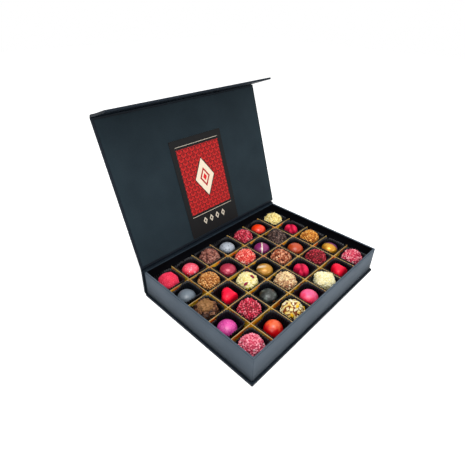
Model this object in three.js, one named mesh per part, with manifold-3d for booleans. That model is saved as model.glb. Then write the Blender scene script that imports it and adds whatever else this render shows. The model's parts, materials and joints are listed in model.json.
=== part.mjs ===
// A book-style gift box of chocolates: a rigid card tray glued to a wrapped base panel and spine, a lid and
// a folding front flap on paper hinges, magnets that hold the flap shut, a half-lapped card grid, and in
// each cell of the grid one chocolate in a fluted paper cup.
// Millimetres, +Z up, +X along the hinge, +Y towards the hinge. The origin is on the base panel's
// underside, below the middle of the tray. The lid stands open and the flap is folded in.
import * as THREE from "three";
import { mergeVertices } from "three/addons/utils/BufferGeometryUtils.js";
import Module from "manifold-3d";

const wasm = await Module();
wasm.setup();

// Chocolates
const TRUFFLE_DIAMETER = 34;
const TRUFFLE_FLAT = 0.85; // height lost where the ball sits
const TRUFFLE_LUMP = 1.2; // depth of the hollows in the hand-rolled coat
const DOME = { diameter: 26.8, shoulder: 26.2, height: 26, crown: 9 };
const THIMBLE = { diameter: 29, shoulder: 25.6, height: 26.6, crown: 12.6 };
const HEART_WIDTH = 30;
const HEART_HEIGHT = 26.4;
const HEART_NOTCH = 0.68; // depth of the notch between the lobes; 1 is the deep notch of the full heart curve
const LIPS_LENGTH = 28;
const LIPS_WIDTH = 26.4;
const LIPS_HEIGHT = 26;
const LIPS_DIP = 0.38; // depth of the dip in the upper lip, as a share of that lip's width
const LIPS_DIP_LENGTH = 0.35; // length of the dip, as a share of half the lips' length

// Fluted paper cups
const CUP_PAPER = 0.45;
const CUP_ROOM = 0.6; // between the widest chocolate and the paper
const CUP_FLARE = 2; // how much further out the paper is at the rim than at the foot
const CUP_HEIGHT = 21;
const PLEATS = 10;
const PLEAT_DEPTH = 0.9;

// Divider grid
const COLUMNS = 7;
const ROWS = 5;
const DIVIDER_CARD = 1.2;
const DIVIDER_HEIGHT = 24.4;
const DIVIDER_END_GAP = 0.3; // to the tray's walls
const SLOT_PLAY = 0.15; // on each face of the strip that a slot takes
const CELL_ROOM = 0.45; // between a cup's rim and the cell's walls
const ROW_END_ROOM = 4.25; // extra length of the first and last cell of a row
const COLUMN_END_ROOM = 2.95; // extra length of the first and last cell of a column

// Tray
const TRAY_WALL = 2.8;
const TRAY_FLOOR = 2.2;
const TRAY_CORNER = 1.4;
const HEAD_ROOM = 5.1; // from the tallest chocolate to the rim
const LINING_PAPER = 0.3;
const LINING_GAP = 0.3; // from the floor lining to the walls

// Case boards
const BASE_BOARD = 4;
const CASE_BOARD = 3; // the spine, the lid and the flap are cut from one board
const CASE_OVERHANG = 2.6; // of the boards past the tray's ends
const FRONT_OVERHANG = 2.6; // of the base past the tray's front
const BOARD_CORNER = 1; // radius of a board's corners in plan
const EDGE_SOFTENING = 0.5; // round of a paper-wrapped edge
const LID_REST_GAP = 0.3; // between the shut lid's liner and the rim
const FLAP_REST_GAP = 0.3; // between the shut flap and the tray's front
const FLAP_FOOT_GAP = 0.8; // between the shut flap and the base
const GLUE_GAP = 0.3; // glue line between pieces that are pasted together

// Lid inside
const LINER_CARD = 0.8;
const LINER_MARGIN = 3; // of lid board that shows round the liner
const PICTURE_CARD = 0.5;
const PICTURE_WIDTH = 101.6;
const PICTURE_HEIGHT = 152.4;
const PICTURE_FOOT = 1; // from the liner's hinge edge to the picture card

// Paper hinges
const HINGE_GAP = 0.4; // between two boards at their nearest, folded shut
const HINGE_OUT = 0.3; // of the fold line past the middle of the gap
const HINGE_PAPER = 0.4;
const HINGE_LAP = 8; // of the hinge paper on each board
const LID_OPEN = THREE.MathUtils.degToRad(108); // from shut
const FLAP_OPEN = THREE.MathUtils.degToRad(1); // from square to the lid

// Magnets in the flap and the steel keepers in the tray's front wall
const MAGNET_DIAMETER = 12;
const MAGNET_THICKNESS = 1.5;
const KEEPER_DIAMETER = 14;
const KEEPER_THICKNESS = 0.8;
const POCKET_PLAY = 0.3; // round a disc, under it and over it
const MAGNET_SPACING = 160;
const MAGNET_DROP = 22.5; // of the discs' centres below the rim

// Facets
const CORNER_STEPS = 3;
const DISC_SIDES = 20;
const BALL_SIDES = 12;
const BALL_RINGS = 6;
const DOME_SIDES = 14;
const DOME_RINGS = 5;
const HEART_SIDES = 18;
const LIPS_SIDES = 18;

// Cup, cell and tray sizes that follow from the chocolates
const truffleRadius = TRUFFLE_DIAMETER / 2;
const heartReach = ((13 + 4 * HEART_NOTCH) / 32) * HEART_WIDTH; // from its middle to its tip
const mouldedRadius = Math.max(DOME.diameter / 2, THIMBLE.diameter / 2, heartReach, LIPS_LENGTH / 2);
const cupFootInside = Math.max(mouldedRadius, truffleRadius - CUP_FLARE) + CUP_ROOM;
const cupRimOutside = cupFootInside + CUP_FLARE + PLEAT_DEPTH + CUP_PAPER;
const cellPitch = 2 * (cupRimOutside + CELL_ROOM) + DIVIDER_CARD;
const trayInsideLength = COLUMNS * cellPitch - DIVIDER_CARD + 2 * ROW_END_ROOM;
const trayInsideWidth = ROWS * cellPitch - DIVIDER_CARD + 2 * COLUMN_END_ROOM;
const trayLength = trayInsideLength + 2 * TRAY_WALL;
const trayWidth = trayInsideWidth + 2 * TRAY_WALL;
const truffleHeight = TRUFFLE_DIAMETER - TRUFFLE_FLAT;
const tallest = Math.max(
  truffleHeight, DOME.height, THIMBLE.height, HEART_HEIGHT, LIPS_HEIGHT, DIVIDER_HEIGHT,
);

// Levels above the table
const floorTop = BASE_BOARD + TRAY_FLOOR;
const liningTop = floorTop + LINING_PAPER;
const cupFloor = liningTop + CUP_PAPER;
const rim = cupFloor + tallest + HEAD_ROOM;
const linerFace = rim + LID_REST_GAP;
const lidInside = linerFace + LINER_CARD + GLUE_GAP;
const lidOutside = lidInside + CASE_BOARD;
const boardTop = lidInside - HINGE_GAP; // of the spine, and of the flap when it is shut

// Distances from front to back, with the lid and the flap shut
const trayBack = trayWidth / 2;
const trayFront = -trayBack;
const spineOutside = trayBack + CASE_BOARD;
const flapInside = trayFront - FLAP_REST_GAP;
const flapOutside = flapInside - CASE_BOARD;
const lidBack = trayBack - HINGE_GAP;
const lidFront = flapInside + HINGE_GAP;
const baseFront = trayFront - FRONT_OVERHANG;
const caseLength = trayLength + 2 * CASE_OVERHANG;

// Fold lines, as points in the plane across the hinge: Vector2 holds the distances to the back and up
const lidFold = new THREE.Vector2(
  (spineOutside + lidBack) / 2 + HINGE_OUT,
  (boardTop + lidOutside) / 2 + HINGE_OUT,
);
const flapFold = new THREE.Vector2(
  (flapOutside + lidFront) / 2 - HINGE_OUT,
  (boardTop + lidOutside) / 2 + HINGE_OUT,
);

// A closed solid through a stack of rings. Each ring lists as many points as the others, anticlockwise from
// above on the way up the outside, and the first and last rings are closed by a fan of triangles.
function loft(rings) {
  const sides = rings[0].length;
  const points = rings.flat();
  const faces = [];
  for (let ring = 0; ring < rings.length - 1; ring++) {
    for (let side = 0; side < sides; side++) {
      const next = (side + 1) % sides;
      const low = ring * sides;
      const high = low + sides;
      faces.push(low + side, low + next, high + next);
      faces.push(low + side, high + next, high + side);
    }
  }
  const middleOf = (ring) =>
    ring.reduce((sum, point) => sum.add(point), new THREE.Vector3()).divideScalar(sides);
  const first = points.push(middleOf(rings[0])) - 1;
  const last = points.push(middleOf(rings.at(-1))) - 1;
  const top = (rings.length - 1) * sides;
  for (let side = 0; side < sides; side++) {
    const next = (side + 1) % sides;
    faces.push(first, next, side, last, top + side, top + next);
  }
  return new THREE.BufferGeometry().setFromPoints(points).setIndex(faces);
}

// A ring of points at one height, from a rule that gives the radius at each angle.
function ringAt(z, sides, radiusAt) {
  return Array.from({ length: sides }, (_, side) => {
    const angle = (2 * Math.PI * side) / sides;
    const radius = radiusAt(angle, side);
    return new THREE.Vector3(radius * Math.cos(angle), radius * Math.sin(angle), z);
  });
}

// A ring in the shape of a rectangle with round corners, drawn in from its full size by an inset.
function rectangleRing(length, width, corner, inset, z) {
  const radius = Math.max(corner - inset, 0.1 * corner);
  const x = length / 2 - inset - radius;
  const y = width / 2 - inset - radius;
  const centres = [[x, y], [-x, y], [-x, -y], [x, -y]];
  return centres.flatMap(([cx, cy], quarter) =>
    Array.from({ length: CORNER_STEPS + 1 }, (_, step) => {
      const angle = (Math.PI / 2) * (quarter + step / CORNER_STEPS);
      return new THREE.Vector3(cx + radius * Math.cos(angle), cy + radius * Math.sin(angle), z);
    }),
  );
}

// A flat board with softened edges, lying on the XY plane.
function board(length, width, thickness, softening) {
  const ring = (inset, z) => rectangleRing(length, width, BOARD_CORNER, inset, z);
  return loft([
    ring(softening, 0),
    ring(0, softening),
    ring(0, thickness - softening),
    ring(softening, thickness),
  ]);
}

function toManifold(geometry) {
  const bare = geometry.clone();
  bare.deleteAttribute("normal");
  bare.deleteAttribute("uv");
  const merged = mergeVertices(bare, 1e-4);
  return new wasm.Manifold(
    new wasm.Mesh({
      numProp: 3,
      vertProperties: new Float32Array(merged.attributes.position.array),
      triVerts: new Uint32Array(merged.index.array),
    }),
  );
}

function toGeometry(manifold) {
  const { vertProperties, triVerts } = manifold.getMesh();
  return new THREE.BufferGeometry()
    .setAttribute("position", new THREE.BufferAttribute(vertProperties, 3))
    .setIndex(new THREE.BufferAttribute(triVerts, 1));
}

function cut(geometry, tools) {
  return toGeometry(
    tools.reduce((left, tool) => left.subtract(toManifold(tool)), toManifold(geometry)),
  );
}

function join(pieces) {
  const [first, ...others] = pieces.map(toManifold);
  return toGeometry(others.reduce((whole, piece) => whole.add(piece), first));
}

function addPiece(parent, name, geometry, finish) {
  geometry.computeVertexNormals();
  const mesh = new THREE.Mesh(geometry, new THREE.MeshStandardMaterial(finish));
  mesh.name = name;
  parent.add(mesh);
  return mesh;
}

// Turns an outline drawn in X and Y, and extruded along Z, so that it is drawn in Y and Z and runs along X.
function runAlongX(mesh, startX) {
  mesh.rotation.set(Math.PI / 2, 0, Math.PI / 2, "ZYX");
  mesh.position.x = startX;
}

// Where a point of the plane across the hinge goes when its board opens by an angle about a fold line.
function opened(point, fold, angle) {
  return point.clone().rotateAround(fold, -angle);
}

// A strip of hinge paper pasted on the outsides of two boards: corner and face give each board's outer edge
// at the hinge and the way its face looks, and along is the way from the hinge into the board.
function hingePaper(from, to) {
  const pasted = [from.along, null, null, to.along].map((along, index) => {
    const { corner, face } = index < 2 ? from : to;
    const foot = corner.clone().addScaledVector(face, GLUE_GAP);
    if (along) foot.addScaledVector(along, HINGE_LAP);
    return { foot, face };
  });
  const inner = pasted.map(({ foot }) => foot);
  const outer = pasted.map(({ foot, face }) => foot.clone().addScaledVector(face, HINGE_PAPER));
  const outline = new THREE.Shape([...inner, ...outer.reverse()]);
  return new THREE.ExtrudeGeometry(outline, { depth: caseLength, bevelEnabled: false });
}

const box = new THREE.Group();
const lid = new THREE.Group();
lid.position.set(0, lidFold.x, lidFold.y);
lid.rotation.x = -LID_OPEN;
box.add(lid);

// The lid's pieces are placed as they lie when it is shut, inside a group that undoes its fold line's place.
const shutLid = new THREE.Group();
shutLid.position.set(0, -lidFold.x, -lidFold.y);
lid.add(shutLid);

const flap = new THREE.Group();
flap.position.set(0, flapFold.x, flapFold.y);
flap.rotation.x = -FLAP_OPEN;
shutLid.add(flap);
const shutFlap = new THREE.Group();
shutFlap.position.set(0, -flapFold.x, -flapFold.y);
flap.add(shutFlap);

const WRAP = { color: 0x56616a, roughness: 0.75 }; // matt slate paper of the tray
const CASE = { color: 0x1b252d, roughness: 0.6 }; // near-black paper of the case boards
const LINER = { color: 0x28343c, roughness: 0.8 };
const PRINT = { color: 0xa81c22, roughness: 0.45 };
const WAXED = { color: 0x0d0f14, roughness: 0.35 }; // black cup paper
const STEEL = { color: 0x8d9196, roughness: 0.35, metalness: 1 };
const GOLD = { color: 0xb8935a, roughness: 0.3, metalness: 0.8 }; // foil on card

// Base panel, spine, lid board and flap board
const basePanel = addPiece(
  box, "base_panel", board(caseLength, lidBack - baseFront, BASE_BOARD, EDGE_SOFTENING), CASE,
);
basePanel.position.y = (lidBack + baseFront) / 2;

const spineFoot = BASE_BOARD + HINGE_GAP;
const spineHeight = boardTop - spineFoot;
const spinePanel = addPiece(
  box, "spine_panel", board(caseLength, spineHeight, CASE_BOARD, EDGE_SOFTENING), CASE,
);
spinePanel.rotation.x = Math.PI / 2;
spinePanel.position.set(0, spineOutside, spineFoot + spineHeight / 2);

const lidPanel = addPiece(
  shutLid, "lid_panel", board(caseLength, lidBack - lidFront, CASE_BOARD, EDGE_SOFTENING), CASE,
);
lidPanel.position.set(0, (lidBack + lidFront) / 2, lidInside);

const flapFoot = BASE_BOARD + FLAP_FOOT_GAP;
const flapHeight = boardTop - flapFoot;
const magnetHeight = rim - MAGNET_DROP;
const magnetPlaces = [-MAGNET_SPACING / 2, MAGNET_SPACING / 2];

// Pockets for two discs in an upright board, open on its face towards the back and sunk towards the front.
function pockets(faceY, discDiameter, discThickness) {
  const depth = discThickness + 2 * POCKET_PLAY;
  const radius = discDiameter / 2 + POCKET_PLAY;
  const overcut = POCKET_PLAY;
  return magnetPlaces.map((x) =>
    new THREE.CylinderGeometry(radius, radius, depth + overcut, DISC_SIDES)
      .translate(x, faceY - (depth - overcut) / 2, magnetHeight),
  );
}

const flapBlank = board(caseLength, flapHeight, CASE_BOARD, EDGE_SOFTENING)
  .rotateX(Math.PI / 2)
  .translate(0, flapInside, flapFoot + flapHeight / 2);
addPiece(
  shutFlap,
  "flap_panel",
  cut(flapBlank, pockets(flapInside, MAGNET_DIAMETER, MAGNET_THICKNESS)),
  CASE,
);

// Tray: four walls and a floor folded from one board, with a softened rim. The keepers are let into the
// inside of its front wall, so its outside is plain.
function trayShell() {
  const outside = (inset, z) => rectangleRing(trayLength, trayWidth, TRAY_CORNER, inset, z);
  const inside = (inset, z) =>
    rectangleRing(trayInsideLength, trayInsideWidth, TRAY_CORNER, -inset, z);
  return loft([
    outside(0, BASE_BOARD),
    outside(0, rim - EDGE_SOFTENING),
    outside(EDGE_SOFTENING, rim),
    inside(EDGE_SOFTENING, rim),
    inside(0, rim - EDGE_SOFTENING),
    inside(0, floorTop),
  ]);
}
const frontWallInside = trayFront + TRAY_WALL;
addPiece(
  box,
  "tray",
  cut(trayShell(), pockets(frontWallInside, KEEPER_DIAMETER, KEEPER_THICKNESS)),
  WRAP,
);

["left", "right"].forEach((side, index) => {
  const disc = (diameter, thickness) =>
    new THREE.CylinderGeometry(diameter / 2, diameter / 2, thickness, DISC_SIDES);
  const magnet = addPiece(
    shutFlap, `flap_magnet_${side}`, disc(MAGNET_DIAMETER, MAGNET_THICKNESS), STEEL,
  );
  const magnetY = flapInside - POCKET_PLAY - MAGNET_THICKNESS / 2;
  magnet.position.set(magnetPlaces[index], magnetY, magnetHeight);
  const keeper = addPiece(
    box, `keeper_plate_${side}`, disc(KEEPER_DIAMETER, KEEPER_THICKNESS), STEEL,
  );
  const keeperY = frontWallInside - POCKET_PLAY - KEEPER_THICKNESS / 2;
  keeper.position.set(magnetPlaces[index], keeperY, magnetHeight);
});

// Lid liner and the picture card pasted on it
const linerBack = lidBack - LINER_MARGIN;
const linerFront = lidFront + LINER_MARGIN;
const liner = addPiece(
  shutLid,
  "lid_liner",
  board(caseLength - 2 * LINER_MARGIN, linerBack - linerFront, LINER_CARD, LINER_CARD / 4),
  LINER,
);
liner.position.set(0, (linerBack + linerFront) / 2, linerFace);

const picture = addPiece(
  shutLid,
  "picture_card",
  board(PICTURE_WIDTH, PICTURE_HEIGHT, PICTURE_CARD, PICTURE_CARD / 4),
  PRINT,
);
const pictureBack = linerBack - PICTURE_FOOT;
picture.position.set(0, pictureBack - PICTURE_HEIGHT / 2, linerFace - GLUE_GAP - PICTURE_CARD);

// Hinge papers: spine to base, spine to lid, lid to flap
const UP = new THREE.Vector2(0, 1);
const BACK = new THREE.Vector2(1, 0);
const DOWN = UP.clone().negate();
const FRONT = BACK.clone().negate();
const origin = new THREE.Vector2();

const spineTopEdge = { corner: new THREE.Vector2(spineOutside, boardTop), face: BACK, along: DOWN };
const lidBackEdge = {
  corner: opened(new THREE.Vector2(lidBack, lidOutside), lidFold, LID_OPEN),
  face: opened(UP, origin, LID_OPEN),
  along: opened(FRONT, origin, LID_OPEN),
};
const lidHinge = addPiece(box, "lid_hinge_paper", hingePaper(spineTopEdge, lidBackEdge), CASE);
runAlongX(lidHinge, -caseLength / 2);

const lidFrontEdge = { corner: new THREE.Vector2(lidFront, lidOutside), face: UP, along: BACK };
const flapTopEdge = {
  corner: opened(new THREE.Vector2(flapOutside, boardTop), flapFold, FLAP_OPEN),
  face: opened(FRONT, origin, FLAP_OPEN),
  along: opened(DOWN, origin, FLAP_OPEN),
};
const flapHinge = addPiece(
  shutLid, "flap_hinge_paper", hingePaper(lidFrontEdge, flapTopEdge), CASE,
);
runAlongX(flapHinge, -caseLength / 2);

// The base's end of this strip is pasted up the board's back edge, so nothing lies under the base.
const spineFootEdge = { corner: new THREE.Vector2(spineOutside, spineFoot), face: BACK, along: UP };
const baseBackEdge = { corner: new THREE.Vector2(lidBack, EDGE_SOFTENING), face: BACK, along: null };
const footHinge = addPiece(
  box, "foot_hinge_paper", hingePaper(spineFootEdge, baseBackEdge), CASE,
);
runAlongX(footHinge, -caseLength / 2);

// Divider strips, half-lapped: the long ones are slotted from above and the short ones from below
function dividerStrip(length, slotCentres, slotsOnTop) {
  const halfSlot = DIVIDER_CARD / 2 + SLOT_PLAY;
  const slotEnd = DIVIDER_HEIGHT / 2 + (slotsOnTop ? -SLOT_PLAY : SLOT_PLAY);
  const slotMouth = slotsOnTop ? DIVIDER_HEIGHT : 0;
  const notches = slotCentres.flatMap((centre) => [
    new THREE.Vector2(centre - halfSlot, slotMouth),
    new THREE.Vector2(centre - halfSlot, slotEnd),
    new THREE.Vector2(centre + halfSlot, slotEnd),
    new THREE.Vector2(centre + halfSlot, slotMouth),
  ]);
  const plainEdge = slotsOnTop ? 0 : DIVIDER_HEIGHT;
  const outline = new THREE.Shape([
    new THREE.Vector2(-length / 2, plainEdge),
    new THREE.Vector2(-length / 2, slotMouth),
    ...notches,
    new THREE.Vector2(length / 2, slotMouth),
    new THREE.Vector2(length / 2, plainEdge),
  ]);
  return new THREE.ExtrudeGeometry(outline, { depth: DIVIDER_CARD, bevelEnabled: false });
}

const linesBetween = (cells) =>
  Array.from({ length: cells - 1 }, (_, line) => (line + 1 - cells / 2) * cellPitch);
const columnLines = linesBetween(COLUMNS);
const rowLines = linesBetween(ROWS);

rowLines.forEach((y, index) => {
  const length = trayInsideLength - 2 * DIVIDER_END_GAP;
  const strip = addPiece(
    box, `long_divider_${index + 1}`, dividerStrip(length, columnLines, true), GOLD,
  );
  strip.rotation.x = Math.PI / 2;
  strip.position.set(0, y + DIVIDER_CARD / 2, liningTop);
});
columnLines.forEach((x, index) => {
  const length = trayInsideWidth - 2 * DIVIDER_END_GAP;
  const strip = addPiece(
    box, `short_divider_${index + 1}`, dividerStrip(length, rowLines, false), GOLD,
  );
  runAlongX(strip, x - DIVIDER_CARD / 2);
  strip.position.z = liningTop;
});

// Middle of each cell: the end cells are longer, so theirs lie further out
function cellMiddle(index, cells, endRoom) {
  const middle = (index - (cells - 1) / 2) * cellPitch;
  if (index === 0) return middle - endRoom / 2;
  if (index === cells - 1) return middle + endRoom / 2;
  return middle;
}
const cells = [];
for (let row = 0; row < ROWS; row++) {
  for (let column = 0; column < COLUMNS; column++) {
    cells.push({
      row,
      column,
      x: cellMiddle(column, COLUMNS, ROW_END_ROOM),
      y: -cellMiddle(row, ROWS, COLUMN_END_ROOM),
    });
  }
}

// Floor lining of black paper, with the fluted cups that stand on it
function fluteCup() {
  const sides = 2 * PLEATS;
  const ring = (radius, z) => ringAt(z, sides, (_, side) => radius + PLEAT_DEPTH * (side % 2));
  const rimInside = cupFootInside + CUP_FLARE;
  const top = liningTop + CUP_HEIGHT;
  return loft([
    ring(cupFootInside + CUP_PAPER, liningTop - LINING_PAPER / 2),
    ring(cupFootInside + CUP_PAPER, liningTop),
    ring(rimInside + CUP_PAPER, top),
    ring(rimInside, top),
    ring(cupFootInside, cupFloor),
  ]);
}
const liningSheet = loft(
  [floorTop, liningTop].map((z) =>
    rectangleRing(trayInsideLength, trayInsideWidth, TRAY_CORNER, LINING_GAP, z),
  ),
);
addPiece(
  box,
  "floor_lining_with_cups",
  join([liningSheet, ...cells.map(({ x, y }) => fluteCup().translate(x, y, 0))]),
  WAXED,
);

// Hand-rolled truffle: a ball flattened where it sits, its coat hollowed by two crossing waves
function truffle(seed) {
  const centre = truffleRadius - TRUFFLE_FLAT;
  const lowest = Math.asin(-centre / truffleRadius);
  const highest = Math.PI / 2 - Math.PI / (2 * BALL_RINGS);
  const rings = [];
  for (let ring = 0; ring < BALL_RINGS; ring++) {
    const slope = lowest + ((highest - lowest) * ring) / (BALL_RINGS - 1);
    const level = ring / BALL_RINGS;
    rings.push(
      ringAt(centre + truffleRadius * Math.sin(slope), BALL_SIDES, (angle) => {
        const wave = Math.sin(3 * angle + 7 * level + seed) * Math.cos(2 * angle - 9 * level + 2 * seed);
        return (truffleRadius - TRUFFLE_LUMP * (0.5 + 0.5 * wave)) * Math.cos(slope);
      }),
    );
  }
  return crowned(rings, truffleHeight - TRUFFLE_LUMP / 2);
}

// Moulded round piece: a side that leans in a little from foot to shoulder, under a round crown
function spun({ diameter, shoulder, height, crown }) {
  const rings = [ringAt(0, DOME_SIDES, () => diameter / 2)];
  for (let ring = 0; ring < DOME_RINGS - 1; ring++) {
    const slope = (Math.PI / 2) * (ring / (DOME_RINGS - 1));
    const radius = (shoulder / 2) * Math.cos(slope);
    rings.push(ringAt(height - crown * (1 - Math.sin(slope)), DOME_SIDES, () => radius));
  }
  return crowned(rings, height);
}

const dome = () => spun(DOME);
const thimble = () => spun(THIMBLE);

// Moulded piece with an outline of its own, swelling to a soft crown
function swollen(outline, height) {
  const steps = [
    { share: 1, level: 0 },
    { share: 1, level: 0.4 },
    { share: 0.93, level: 0.75 },
    { share: 0.64, level: 0.95 },
  ];
  const rings = steps.map(({ share, level }) =>
    outline.map(({ x, y }) => new THREE.Vector3(x * share, y * share, level * height)),
  );
  return crowned(rings, height);
}

// Moulded heart, drawn with its tip towards the front
function heart() {
  const outline = Array.from({ length: HEART_SIDES }, (_, side) => {
    const turn = (-2 * Math.PI * side) / HEART_SIDES;
    const across = Math.sin(turn) ** 3;
    const lobes = 5 * Math.cos(2 * turn) + 2 * Math.cos(3 * turn) + Math.cos(4 * turn);
    const along = (13 * Math.cos(turn) - HEART_NOTCH * lobes) / 16;
    return new THREE.Vector2(across, along).multiplyScalar(HEART_WIDTH / 2);
  });
  return swollen(outline, HEART_HEIGHT);
}

// Moulded lips, drawn with the upper lip on the left: an oval with a dip in the middle of that lip
function lips() {
  const outline = Array.from({ length: LIPS_SIDES }, (_, side) => {
    const turn = (2 * Math.PI * side) / LIPS_SIDES;
    const along = Math.sin(turn);
    const dip = Math.cos(turn) < 0 ? LIPS_DIP * Math.exp(-((along / LIPS_DIP_LENGTH) ** 2)) : 0;
    return new THREE.Vector2((LIPS_WIDTH / 2) * Math.cos(turn) * (1 - dip), (LIPS_LENGTH / 2) * along);
  });
  return swollen(outline, LIPS_HEIGHT);
}

// Closes a stack of rings with a crown that rises to a point at its middle.
function crowned(rings, height) {
  const geometry = loft(rings);
  const crown = geometry.attributes.position.count - 1;
  geometry.attributes.position.setZ(crown, height);
  return geometry;
}

const FORMS = { truffle, dome, thimble, heart, lips };
const COATED = 0.85; // roughness of a rolled coat
const GLAZED = 0.2; // roughness of polished cocoa butter
const RECIPES = {
  raspberry_dust: { form: "truffle", colour: 0xc8335a },
  strawberry_gloss: { form: "dome", colour: 0xf0546c },
  milk_flake: { form: "truffle", colour: 0x7a5248 },
  silver_speckle: { form: "dome", colour: 0xaeb4be },
  raspberry_crumble: { form: "truffle", colour: 0xa82c4c },
  orange_gloss: { form: "dome", colour: 0xdd4a1e },
  white_flake: { form: "truffle", colour: 0xead992 },
  blue_satin: { form: "dome", colour: 0x6e7a86 },
  caramel_crumble: { form: "truffle", colour: 0xb87838 },
  ruby_pearl: { form: "dome", colour: 0xa63a50 },
  coral_crumble: { form: "truffle", colour: 0xde5a55 },
  violet_stripe: { form: "dome", colour: 0x7c2a78 },
  dark_flake: { form: "truffle", colour: 0x3e2c2a },
  cherry: { form: "lips", colour: 0xb2163e },
  milk_curl: { form: "truffle", colour: 0x7a5234 },
  red: { form: "heart", colour: 0xe01e3c },
  white_berry: { form: "truffle", colour: 0xe6d68c },
  bronze_swirl: { form: "dome", colour: 0xa8803e },
  copper_flake: { form: "truffle", colour: 0x9a5a3c },
  amber_speckle: { form: "dome", colour: 0xa84a22 },
  caramel_nut: { form: "truffle", colour: 0xb47a2c },
  magenta_crackle: { form: "dome", colour: 0xc43a92 },
  dark_marble: { form: "dome", colour: 0x2a302c },
  pink_white_flake: { form: "truffle", colour: 0xcdb08c },
  dark_raspberry: { form: "truffle", colour: 0x8e1e3c },
  gold_violet: { form: "dome", colour: 0xc08a2a },
  pink_crumble: { form: "truffle", colour: 0xc4566e },
  orange: { form: "thimble", colour: 0xe04a2a },
  almond_shard: { form: "truffle", colour: 0xdabf7c },
  pink_gloss: { form: "dome", colour: 0xe8386e },
  white_curl: { form: "truffle", colour: 0xe8deb0 },
  pink_white_crumble: { form: "truffle", colour: 0xc85a74 },
};

// The rows from the hinge to the front, each from left to right
const ASSORTMENT = [
  "raspberry_dust strawberry_gloss milk_flake silver_speckle raspberry_crumble orange_gloss white_flake",
  "blue_satin caramel_crumble ruby_pearl coral_crumble violet_stripe dark_flake cherry",
  "milk_curl red white_berry bronze_swirl copper_flake amber_speckle caramel_nut",
  "magenta_crackle raspberry_crumble dark_marble pink_white_flake cherry dark_raspberry gold_violet",
  "pink_crumble orange almond_shard pink_gloss white_curl red pink_white_crumble",
].map((row) => row.split(" "));
const ROW_LETTERS = "abcdefghij";
const TURNS = { heart: 45, lips: -31 }; // degrees from a form's own axes to the way it lies

cells.forEach(({ row, column, x, y }, index) => {
  const recipe = ASSORTMENT[row % ASSORTMENT.length][column % ASSORTMENT[0].length];
  const { form, colour } = RECIPES[recipe];
  const place = `${ROW_LETTERS[row]}${column + 1}`;
  const finish = { color: colour, roughness: form === "truffle" ? COATED : GLAZED };
  const chocolate = addPiece(box, `${place}_${recipe}_${form}`, FORMS[form](index), finish);
  chocolate.position.set(x, y, cupFloor);
  chocolate.rotation.z = THREE.MathUtils.degToRad(TURNS[form] ?? 0);
});

export default box;
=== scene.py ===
import json
import math

import bmesh
import bpy
from mathutils import Matrix, Vector, noise

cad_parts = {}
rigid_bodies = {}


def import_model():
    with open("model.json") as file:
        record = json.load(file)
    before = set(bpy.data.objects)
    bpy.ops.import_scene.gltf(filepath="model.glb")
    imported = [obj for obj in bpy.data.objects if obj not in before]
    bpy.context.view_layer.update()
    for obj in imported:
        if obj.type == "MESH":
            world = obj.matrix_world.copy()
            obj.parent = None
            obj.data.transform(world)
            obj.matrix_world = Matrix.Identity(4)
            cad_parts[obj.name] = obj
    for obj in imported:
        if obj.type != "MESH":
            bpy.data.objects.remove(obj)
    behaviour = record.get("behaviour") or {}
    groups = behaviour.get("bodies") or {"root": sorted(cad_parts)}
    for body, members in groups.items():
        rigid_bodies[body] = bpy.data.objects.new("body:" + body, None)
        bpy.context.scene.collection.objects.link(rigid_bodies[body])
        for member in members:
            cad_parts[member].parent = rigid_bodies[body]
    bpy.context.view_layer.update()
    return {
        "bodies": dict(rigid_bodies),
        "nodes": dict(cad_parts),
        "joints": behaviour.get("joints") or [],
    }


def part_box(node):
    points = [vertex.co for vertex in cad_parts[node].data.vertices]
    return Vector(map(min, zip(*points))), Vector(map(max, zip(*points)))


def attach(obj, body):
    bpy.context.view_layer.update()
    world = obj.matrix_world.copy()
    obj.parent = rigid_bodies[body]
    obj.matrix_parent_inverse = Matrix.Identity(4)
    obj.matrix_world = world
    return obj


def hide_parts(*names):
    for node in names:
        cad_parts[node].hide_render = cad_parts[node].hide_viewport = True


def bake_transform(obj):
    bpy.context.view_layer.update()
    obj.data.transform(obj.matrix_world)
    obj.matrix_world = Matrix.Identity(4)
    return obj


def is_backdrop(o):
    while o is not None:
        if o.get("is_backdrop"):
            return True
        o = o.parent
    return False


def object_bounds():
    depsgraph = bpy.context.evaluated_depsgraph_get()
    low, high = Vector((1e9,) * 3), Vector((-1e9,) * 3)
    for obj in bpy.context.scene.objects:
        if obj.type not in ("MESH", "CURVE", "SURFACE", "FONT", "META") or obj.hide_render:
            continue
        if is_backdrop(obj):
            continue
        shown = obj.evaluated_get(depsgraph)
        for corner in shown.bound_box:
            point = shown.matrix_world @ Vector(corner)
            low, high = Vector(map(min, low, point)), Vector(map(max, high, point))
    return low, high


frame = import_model()

# Tray
# Four walls and a floor of greyboard, wrapped in matt slate paper that turns over the rim. The inside is
# lined with black paper. The wrap is creased along the rim and down the corners, where a dark line is
# painted: partly the worn paper of the crease, partly painted shade. The back wall and its rim are painted
# darker, as a painted shadow of the open lid.
MM = 0.001
TRAY_WALL = 2.8 * MM
TRAY_FLOOR = 2.2 * MM
TRAY_CORNER = 1.4 * MM
RIM_ROUND = 0.5 * MM
CREASE_WIDTH = 0.75 * MM
CREASE_SHADE = 0.85
PAPER_FIBRE = 0.9 * MM
PAPER_RELIEF = 0.05 * MM
PAPER_CLOUD = 45 * MM
FIBRE_SHARE = 0.35
CORNER_STEPS = 6
ROUND_STEPS = 4


def linear(code):
    """The linear colour of an sRGB hex value."""
    channels = [int(code[i:i + 2], 16) / 255 for i in (0, 2, 4)]
    return [c / 12.92 if c <= 0.04045 else ((c + 0.055) / 1.055) ** 2.4 for c in channels] + [1.0]


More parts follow.
